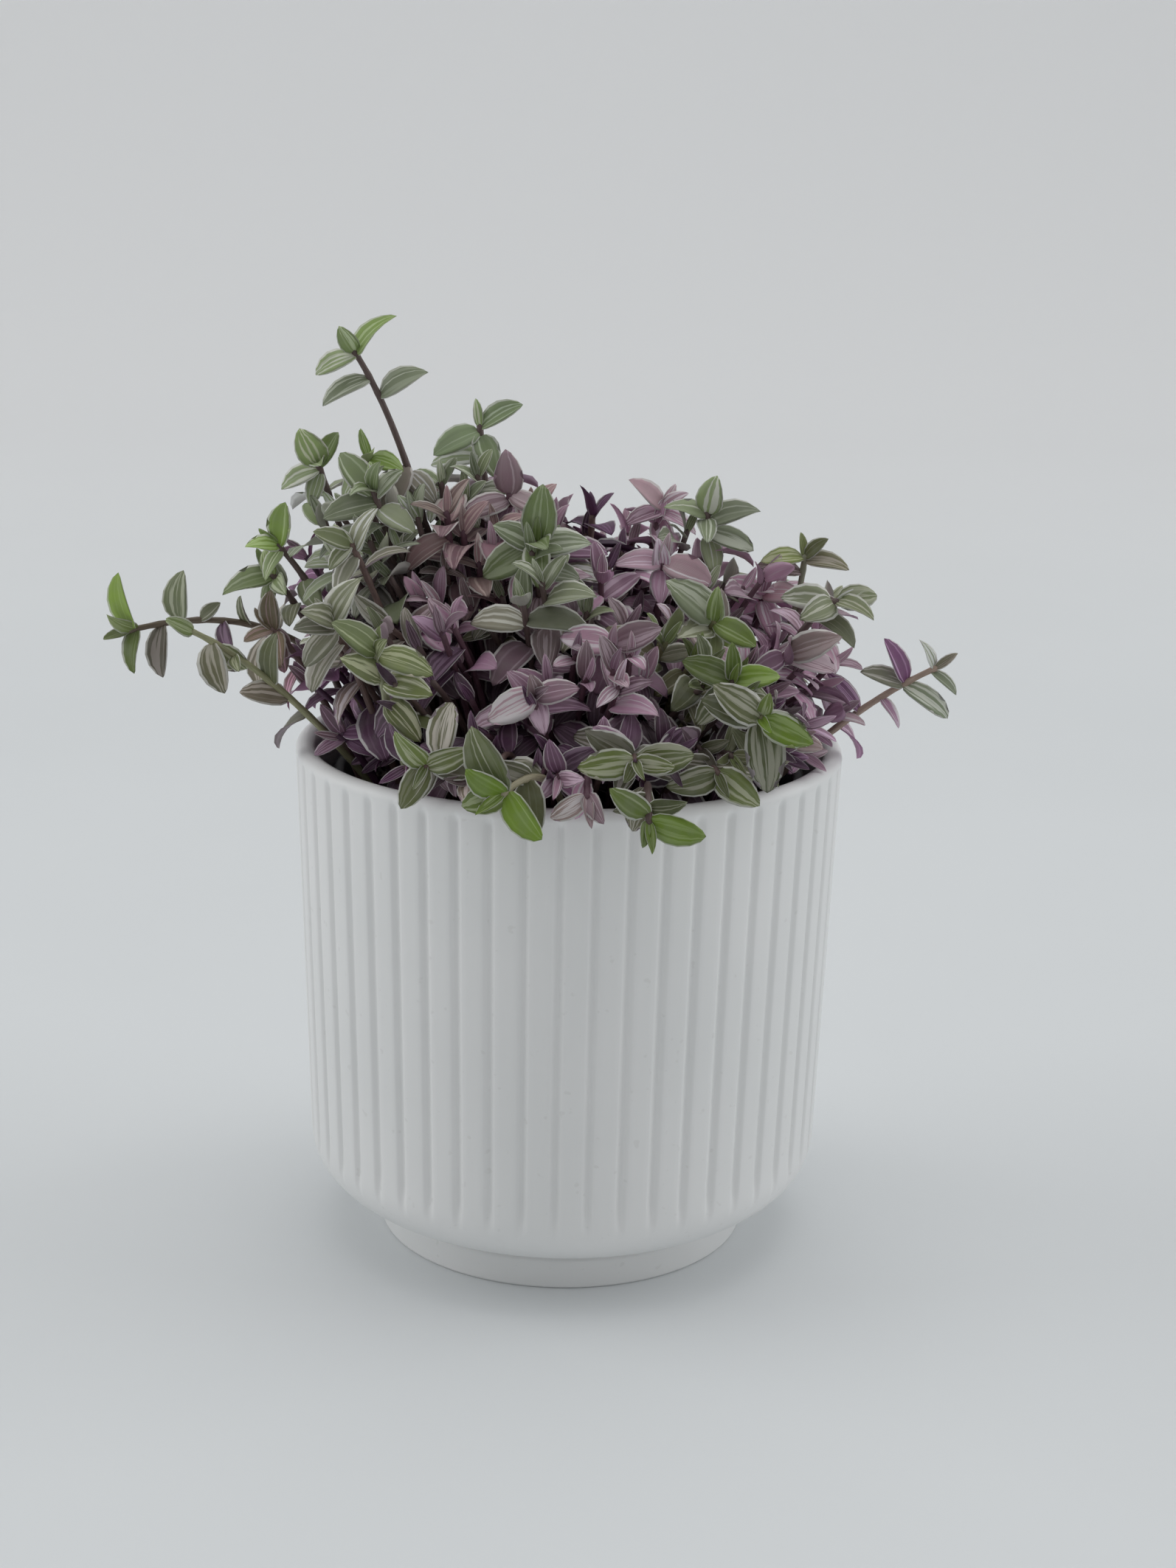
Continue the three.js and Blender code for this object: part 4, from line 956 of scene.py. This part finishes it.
def fine_stem(shoot):
    """A round stem carried along its curve, with its faces and map places. Its radius falls from
    1.05 to 0.72 mm towards the tip and swells by a fifth at each leaf, and both ends close on a
    point. Stems of the small foliage, which hardly show, are plainer."""
    sides, step = (8, 2.2) if shoot.own or shoot.more < 10 else (5, 3.6)
    rings = max(8, int(shoot.length / step))
    t = np.linspace(0, 1, rings)
    middle, along = shoot.at(t), shoot.along(t)
    hinge = np.cross(shoot.bend - shoot.root, shoot.tip - shoot.bend)
    straight = np.linalg.norm(hinge) <= 1
    hinge = across_of(np.array([0, 1.0, 0.1]), along[0]) if straight else unit(hinge)
    side = unit(np.cross(hinge, along))
    joints = np.array([leaf.down for leaf in shoot.leaves])
    from_tip = (1 - t) * shoot.length
    swell = np.exp(-((from_tip[:, None] - joints) / 1.1) ** 2).max(axis=1)
    radius = (1.05 - 0.33 * t) * (1 + 0.2 * swell)
    turn = np.arange(sides) * 2 * math.pi / sides
    ring = (middle[:, None] + (radius[:, None] * np.cos(turn))[..., None] * side[:, None]
            + (radius[:, None] * np.sin(turn))[..., None] * hinge)
    points = np.concatenate([ring.reshape(-1, 3), [middle[0]], [middle[-1] + along[-1] * 0.5]])
    lists = [grid_faces(rings, sides), *end_fans(rings, sides)]
    length_map = np.concatenate([np.repeat(from_tip * 0.1, sides), [from_tip[0] * 0.1, 0.0]])
    turn_map = np.concatenate([np.tile(np.arange(sides) / sides, rings), [0.0, 0.0]])
    uvs = [np.stack([length_map[f.ravel()], turn_map[f.ravel()]], axis=1) for f in lists]
    return points, lists, uvs


def leaf_colours(shoot, draw):
    """For each leaf the blade, stripe and underside colours. The leaf's tone moves a share of the
    way to others in turn: to dusky and, in pink and dusky leaves away from the left, to purple by
    chance; to sage high up in the green shoots and at the left in dusky leaves; to dusky and pink
    lower down the shoot away from the left; to a dark olive low at the front, in part painted
    shade; to bright green where young, to wine where old, and to dark purple as painted shade
    under the canopy, where the leaf is closed in and, in the small foliage, near the hollows. Each
    leaf's brightness is its own, and falls with painted shade where it is closed in and near the
    hollows."""
    rows = []
    purple, dusky, pink = (np.array(PALETTE[tone]) for tone in ("purple", "dusky", "pink"))
    tint = shoot.tint * np.array(TINTS.get(shoot.name, 1))
    main, green = bool(shoot.own), shoot.tone in ("green", "bright")
    for leaf in shoot.leaves:
        x, y, z = place = leaf.base + leaf.d * 0.5 * leaf.length
        # Painted shade: a leaf turns darker and purple by how deep it lies under the canopy, how
        # closed in it is and, in the small foliage, how near it is to a hollow.
        into_hole = (HOLE_RADII - np.linalg.norm(place - HOLES, axis=1)).max()
        painted_hollow_shade = smooth(into_hole, -9, 0) * (not main)
        depth = float(canopy(x, y)) - z
        painted_shade = max(0.8 * smooth(depth, 15, 46), 0.75 * leaf.gloom, 0.95 * painted_hollow_shade)
        youth = YOUTH.get(shoot.name, YOUTH[shoot.tone]) * math.exp(-((leaf.down / 2.4) ** 2))
        youth *= (0.4 + 0.6 * next(draw)) * (1 if main else 0.35)
        tone = LEAF_TONES.get(shoot.name, {}).get(leaf.listed, shoot.tone)
        marked = tone != shoot.tone
        plain = marked or shoot.name in UNBLUSHED and leaf.listed < len(shoot.own)
        aside = 0 if plain else smooth(x, -34, -12) * smooth(leaf.down, 4, 12)
        front = smooth(-y, 34, 52) * (1 - smooth(z, 152, 170)) * main
        rosy = tone in ("pink", "dusky")
        moves = [(dusky, 0.7 * next(draw) ** 3),
                 (purple, 0.65 * smooth(x, -50, -25) * next(draw) ** 3 * rosy)]
        if tone == "dusky":
            moves.append((SAGE * 0.85, 0.6 * (1 - smooth(x, -52, -32)) * smooth(z, 146, 166)))
        if green:
            moves += [(SAGE, smooth(z, 152, 182) * (0.6 + 0.4 * next(draw))), (dusky, 0.75 * aside)]
        moves.append((pink * 0.9, 0.85 * aside * (1 - 0.7 * front) * (0.25 + 0.75 * next(draw))))
        # Dark olive low at the front: in part the leaves' own green, in part painted shade.
        if shoot.tone != "pink":
            moves.append((SHADED_OLIVE, 0.75 * front))
        moves += [(YOUNG, min(youth, 1) * (1 - painted_shade) * (0.12 if marked else 1)),
                  (OLD, 0.85 * smooth(leaf.down, 24, 46) * next(draw)), (purple, painted_shade)]
        colours = np.array({**PALETTE, "sage": SAGE}[tone])
        for goal, share in moves:
            colours = colours + (goal - colours) * share
        low, more = np.array(SPREAD[shoot.tone]) * (1.1 - 0.1 * smooth(x, -44, -24))
        # Painted shade: the brightness falls where the leaf is closed in and near the hollows.
        bright = (low + more * next(draw)) * (1.47 - 1.19 * leaf.gloom) * (1 - 0.35 * painted_hollow_shade)
        bright *= 1 if main else 1 - 0.16 * aside
        rows.append(np.minimum(colours * tint * bright, 0.85))
    return np.array(rows)


def foliage(name, shoots, slot, replaces=None):
    """One mesh of the shoots' stems and leaves, with each leaf's colours kept on its vertices."""
    draw = seeded(900 + shoots[0].seed)
    points, faces, uvs, kinds, colours, chance = [], [], [], [], [], []

    def take(kind, made, tones, lots):
        """Adds equal parts of one kind, 0 leaves or 1 stem, with each one's colours and chance."""
        new_points, lists, maps = made
        faces.extend((part + sum(map(len, points))).tolist() for part in lists)
        points.append(new_points)
        uvs.extend(maps)
        kinds.extend(np.full(len(part), kind) for part in lists)
        each = len(new_points) // len(lots)
        colours.append(np.repeat(tones, each, axis=0))
        chance.append(np.repeat(lots, each))

    for shoot in shoots:
        tint = np.array(PALE_STEMS.get(shoot.name, STEM_TONES[shoot.tone]))
        take(1, fine_stem(shoot), [[tint, tint * 1.7 + 0.03, tint]], [next(draw)])
        tones = leaf_colours(shoot, draw)
        lots = np.array([next(draw) for _ in shoot.leaves])
        take(0, fine_leaves(shoot.leaves, lots * FULL_TURN), tones, lots)
    piece = make_piece(name, np.concatenate(points), [face for part in faces for face in part],
                       [LEAF, STEM], slot, replaces)
    mesh = piece.data
    mesh.polygons.foreach_set("material_index", np.concatenate(kinds))
    layer = mesh.uv_layers.new(name="blade_map")
    layer.uv.foreach_set("vector", np.concatenate(uvs).astype(np.float32).ravel())
    colours = np.concatenate(colours)
    opaque = np.ones((len(colours), 1))
    for k, key in enumerate(("blade", "stripe", "under")):
        set_attribute(mesh, key, "FLOAT_COLOR", np.append(colours[:, k], opaque, axis=1))
    set_attribute(mesh, "chance", "FLOAT", np.concatenate(chance))


def add_bud(shoot):
    """A small folded leaf that stands in the middle of the tip."""
    along = shoot.along(1.0)
    draw = seeded(shoot.seed + 3)
    facing = across_of(np.array([0.3 * (next(draw) - 0.5), -1.0, 0.25]), along)
    d = unit(along + 0.35 * (next(draw) - 0.5) * np.cross(along, facing) - 0.15 * facing)
    base, length = shoot.tip - along * 0.6, 6.5 + 2 * next(draw)
    shoot.leaves.append(Leaf(base, d, across_of(facing, d), length, 0.42, 0.25, 0.75))


for shoot in main_shoots + small_shoots:
    add_bud(shoot)
for shoot in main_shoots:
    foliage("leaves_" + shoot.name, [shoot], "leaf_" + shoot.tone, "shoot_" + shoot.name)
for tone in PALETTE:
    group = [shoot for shoot in small_shoots if shoot.tone == tone]
    foliage("inner_leaves_" + tone, group, "leaf_" + tone)


# Pots and peat

def side_radius(z):
    """The pot's outer radius on its straight side: it falls by SIDE_TAPER for each mm down."""
    return RIM_RADIUS - SIDE_TAPER * (POT_HEIGHT - z)


def pot_profile():
    """The ceramic pot's outline from the middle of its underside, round the lip, to its floor."""
    bowl_r = side_radius(BOWL_TOP) - BOWL_ROUND
    lip = POT_WALL / 2
    inner_r, inner_z = side_radius(BOWL_TOP + 2) - POT_WALL - FLOOR_ROUND, BOWL_TOP + 2
    side_z = np.concatenate([np.linspace(BOWL_TOP + 2, 36, 6), np.linspace(44, 116, 8),
                             np.linspace(120, POT_HEIGHT - lip - 0.4, 16)])
    wall_z = np.linspace(POT_HEIGHT - lip - 3, inner_z + 4, 12)
    return np.concatenate([
        [[0, 0], [FOOT_RADIUS - 6, 0]],
        arc(FOOT_RADIUS - 0.9, 0.9, 0.9, 0.9, -90, 0, 5),
        [[FOOT_RADIUS, FOOT_HEIGHT - 2.4]],
        arc(FOOT_RADIUS - 0.9, FOOT_HEIGHT - 1.3, 0.9, 1.1, 0, 70, 4),
        [[FOOT_RADIUS - 1.0, FOOT_HEIGHT + 0.2]],
        arc(bowl_r, BOWL_TOP, BOWL_ROUND, BOWL_DROP, -73, 0, 22),
        np.stack([side_radius(side_z), side_z], axis=1),
        arc(RIM_RADIUS - lip, POT_HEIGHT - lip, lip, lip, 0, 180, 11),
        np.stack([side_radius(wall_z) - POT_WALL, wall_z], axis=1),
        arc(inner_r, inner_z, FLOOR_ROUND, -(inner_z - FLOOR_THICKNESS), 0, 90, 8),
        [[8, FLOOR_THICKNESS], [0, FLOOR_THICKNESS]],
    ])


def flute_depth(profile, turns):
    """How deep the flutes cut: FLUTE_DEPTH times half of 1 + cos across each flute's width, faded
    out under the lip and down the bowl, and nothing on the inside or the foot."""
    r, z = profile.T
    outside = np.arange(len(profile)) <= np.argmax(z)
    fade = smooth(z, 20.5, 31) * smooth(FLUTE_TOP + 0.6 - z, 0, 3.2) * outside
    half = FLUTE_PITCH / 2
    phase = (turns - math.radians(FLUTE_PHASE) + half) % FLUTE_PITCH - half
    x = np.clip(np.abs(phase) * RIM_RADIUS / (FLUTE_WIDTH / 2), 0, 1)
    return fade[:, None] * FLUTE_DEPTH * 0.5 * (1 + np.cos(math.pi * x))


def ceramic_pot():
    """The pot as one turned surface, with its turns packed closer inside each flute."""
    half = FLUTE_WIDTH / 2 / RIM_RADIUS
    between = np.linspace(half, FLUTE_PITCH - half, 5)[1:-1]
    within = np.concatenate([np.linspace(-1, 1, 11) * half, between])
    turns = (np.arange(FLUTES)[:, None] * FLUTE_PITCH + within).ravel() + math.radians(FLUTE_PHASE)
    profile = pot_profile()
    points, faces = revolved(profile, turns, flute_depth(profile, turns)[1:-1])
    make_piece("glazed_pot", points, faces, [ceramic_glaze()], "ceramic", "ceramic_pot")


def nursery_inside(z):
    """The nursery pot's inner radius, which grows evenly with height."""
    share = (z - FLOOR_THICKNESS) / (NURSERY_TOP - FLOOR_THICKNESS)
    growth = NURSERY_RIM_RADIUS - 1.6 - NURSERY_BASE_RADIUS
    return NURSERY_BASE_RADIUS + growth * share - NURSERY_WALL


def nursery_pot():
    """A thin tapered pot with a rolled rim and four drain holes cut through its floor."""
    base, edge, top = FLOOR_THICKNESS + GAP, NURSERY_TOP - NURSERY_LIP, NURSERY_TOP
    foot, rim = NURSERY_BASE_RADIUS, NURSERY_RIM_RADIUS
    outline = [[0, base], [foot - 3, base], [foot - 1.2, base + 0.5],
               [nursery_inside(base + 2) + NURSERY_WALL, base + 2],
               [nursery_inside(edge) + NURSERY_WALL, edge], [rim - 0.3, edge], [rim, edge + 0.4],
               [rim, top - 1.0], [rim - 0.3, top - 0.3], [rim - 1.0, top],
               [nursery_inside(top) + 0.5, top], [nursery_inside(top), top - 0.5],
               [nursery_inside(base + 3.5), base + 3.5], [foot - 4, base + 1.5], [0, base + 1.5]]
    points, faces = revolved(outline, round_turns(96))
    pot = make_piece("slim_pot", points, faces, [black_plastic()], "nursery_plastic", "nursery_pot")
    holes, rings = [], []
    for k in range(DRAIN_HOLES):
        plug, sides = revolved([[0, base - 2], [DRAIN_RADIUS, base - 2], [DRAIN_RADIUS, base + 4],
                                [0, base + 4]], round_turns(24))
        turn = 2 * math.pi * k / DRAIN_HOLES
        rings += [[i + len(plug) * k for i in face] for face in sides]
        holes.append(plug + [DRAIN_REACH * math.cos(turn), DRAIN_REACH * math.sin(turn), 0])
    cutter = make_piece("drain_plugs", np.concatenate(holes), rings, [], None)
    cut = pot.modifiers.new("drain", "BOOLEAN")
    cut.operation, cut.object, cut.solver = "DIFFERENCE", cutter, "EXACT"
    bpy.context.view_layer.update()
    done = bpy.data.meshes.new_from_object(pot.evaluated_get(bpy.context.evaluated_depsgraph_get()))
    pot.modifiers.remove(cut)
    pot.data = done
    bpy.data.objects.remove(cutter)


def peat():
    """The root ball: a turned solid whose top is lifted by waves of two lengths. On it lie crumbs,
    each three rings of six points between two ends, jostled and scaled by chance."""
    base = FLOOR_THICKNESS + 1.5 + 2 * GAP
    clear = nursery_inside(SOIL_TOP) - GAP
    side_z = [base + 3, *np.linspace(30, SOIL_TOP - 1.5, 8)]
    side = [[nursery_inside(z) - GAP, z] for z in side_z]
    top = [[r, SOIL_TOP + SOIL_RISE * (1 - r / clear)] for r in np.linspace(clear - 0.4, 0, 44)]
    points, faces = revolved([[0, base], [NURSERY_BASE_RADIUS - 5, base], *side, *top],
                             round_turns(144))
    x, y, z = points.T
    broad = np.sin(0.9 * x + 1.3 * np.sin(0.7 * y)) * np.sin(0.8 * y + 1.1 * np.sin(0.6 * x))
    fine = np.sin(2.3 * x + 2 * np.sin(1.9 * y)) * np.sin(2.1 * y + 0.7)
    lifted = (z > SOIL_TOP - 0.6) * smooth(clear - np.hypot(x, y), 0.2, 3)
    points[:, 2] += (broad * 0.45 + fine * 0.22) * lifted
    draw = np.random.default_rng(5)
    reach = (clear - 2.5) * np.sqrt(draw.random(CRUMBS))
    turn = draw.random(CRUMBS) * 2 * math.pi
    a = np.radians([-90, -40, 10, 55, 90])
    b = np.arange(6) * math.pi / 3
    lump = np.stack([np.cos(a)[:, None] * np.cos(b), np.cos(a)[:, None] * np.sin(b),
                     np.sin(a)[:, None] + 0 * b], axis=-1)[1:-1].reshape(-1, 3)
    lump = np.concatenate([lump, [[0, 0, -1], [0, 0, 1]]])
    size = 0.5 + 1.3 * draw.random((CRUMBS, 1, 1)) ** 2
    crumbs = lump * size * (0.75 + 0.5 * draw.random((CRUMBS, len(lump), 1)))
    height = SOIL_TOP + SOIL_RISE * (1 - reach / clear) + 0.3
    crumbs += np.stack([reach * np.cos(turn), reach * np.sin(turn), height], axis=1)[:, None]
    more = [[i + len(points) + len(lump) * c for i in face] for c in range(CRUMBS)
            for face in closed_faces(3, 6)]
    make_piece("potting_peat", np.concatenate([points, crumbs.reshape(-1, 3)]), faces + more,
               [moist_peat()], "peat", "soil")


ceramic_pot()
nursery_pot()
peat()


# Stage, light and camera

def sweep():
    """A pale seamless sweep: flat floor, a quarter turn, then a wall, all of one width."""
    p = Paint("paper_sweep")
    mottle = p.noise(p.place(), 3.0, 3.0)
    far = p.ease(p.part(p.place(), "Y"), 0.4, 1.9)
    colour = p.mix(p.ease(mottle, 0.3, 0.7), rgb(0.76, 0.782, 0.793), rgb(0.78, 0.802, 0.813))
    colour = p.mix(far, colour, rgb(0.94, 0.945, 0.95))
    material = p.finish(Base_Color=colour, Roughness=0.9)
    bend = arc(0, 0, 900, 900, -90, 0, 16)
    line = np.concatenate([[[-3500, 0]], bend + [1600, 900], [[2500, 4200]]])
    n = len(line)
    points = [[x, y, z] for x in (-4200, 4200) for y, z in line]
    faces = [[k, n + k, n + k + 1, k + 1] for k in range(n - 1)]
    piece = make_piece("studio_sweep", points, faces, [material], None)


def stand(thing, right, up, back, place):
    """Puts a lamp or camera in the scene at a place in metres, by its three own directions."""
    pose = np.eye(4)
    pose[:3] = np.transpose([right, up, back, place])
    bpy.context.scene.collection.objects.link(thing)
    thing.matrix_world = Matrix(pose.tolist())


def area(name, place, aim, size, power, colour):
    """A soft square light at a place in metres, turned towards its aim."""
    light = bpy.data.lights.new(name, "AREA")
    light.shape, light.size, light.size_y = "RECTANGLE", size, size
    light.energy, light.color = power, colour
    back = unit(np.subtract(place, aim))
    right = unit(np.cross([0, 0, 1.0], back))
    stand(bpy.data.objects.new(name, light), right, np.cross(back, right), back, place)


sweep()
world = bpy.data.worlds.new("soft_daylight")
world.use_nodes = True
tree = world.node_tree
sky = tree.nodes["Background"]
looking, parts, ramp = (tree.nodes.new("ShaderNode" + kind)
                        for kind in ("TexCoord", "SeparateXYZ", "MapRange"))
tree.links.new(looking.outputs["Generated"], parts.inputs[0])
tree.links.new(parts.outputs["Y"], ramp.inputs["Value"])
# The daylight is stronger from behind the plant than from in front of it
for key, value in (("From Min", -1.0), ("From Max", 0.1), ("To Min", 0.335), ("To Max", 0.61)):
    ramp.inputs[key].default_value = value
tree.links.new(ramp.outputs[0], sky.inputs["Strength"])
sky.inputs["Color"].default_value = rgb(0.975, 0.99, 1.0)
bpy.context.scene.world = world
area("window_left", (-2.2, 0.2, 1.0), (0, 0, 0.1), 1.8, 12.5, (0.99, 1.0, 1.0))
area("sky_panel", (0.1, 0.25, 1.7), (0, 0, 0.15), 1.4, 5, (1.0, 1.0, 1.0))
area("window_right", (2.2, 0.2, 1.0), (0, 0, 0.1), 1.8, 10.5, (0.97, 0.99, 1.0))

# The camera fitted to the pot in the photograph: how far it looks down and aside and leans, in
# degrees, its place in metres, and its focal length and the frame's height in pixels
LOOK_DOWN, LOOK_ASIDE, LEAN = 15.418, 0.615, 1.187
EYE = (-0.0015, -0.607, 0.2865)
FOCAL_LENGTH, FRAME_HEIGHT, SENSOR = 3300, 2126, 36.0
camera = bpy.data.cameras.new("photo_view")
camera.sensor_width, camera.sensor_fit = SENSOR, "AUTO"
camera.lens = FOCAL_LENGTH / FRAME_HEIGHT * SENSOR
camera.clip_start, camera.clip_end = 0.02, 30
pitch, yaw, roll = (math.radians(angle) for angle in (LOOK_DOWN, LOOK_ASIDE, LEAN))
ahead = np.array([math.sin(yaw) * math.cos(pitch), math.cos(yaw) * math.cos(pitch),
                  -math.sin(pitch)])
level = np.array([math.cos(yaw), -math.sin(yaw), 0])
upward = np.cross(level, ahead)
right = math.cos(roll) * level + math.sin(roll) * upward
above = -math.sin(roll) * level + math.cos(roll) * upward
eye = bpy.data.objects.new("photo_view", camera)
stand(eye, right, above, -ahead, EYE)
bpy.context.scene.camera = eye
bpy.context.scene.view_settings.view_transform = "Standard"
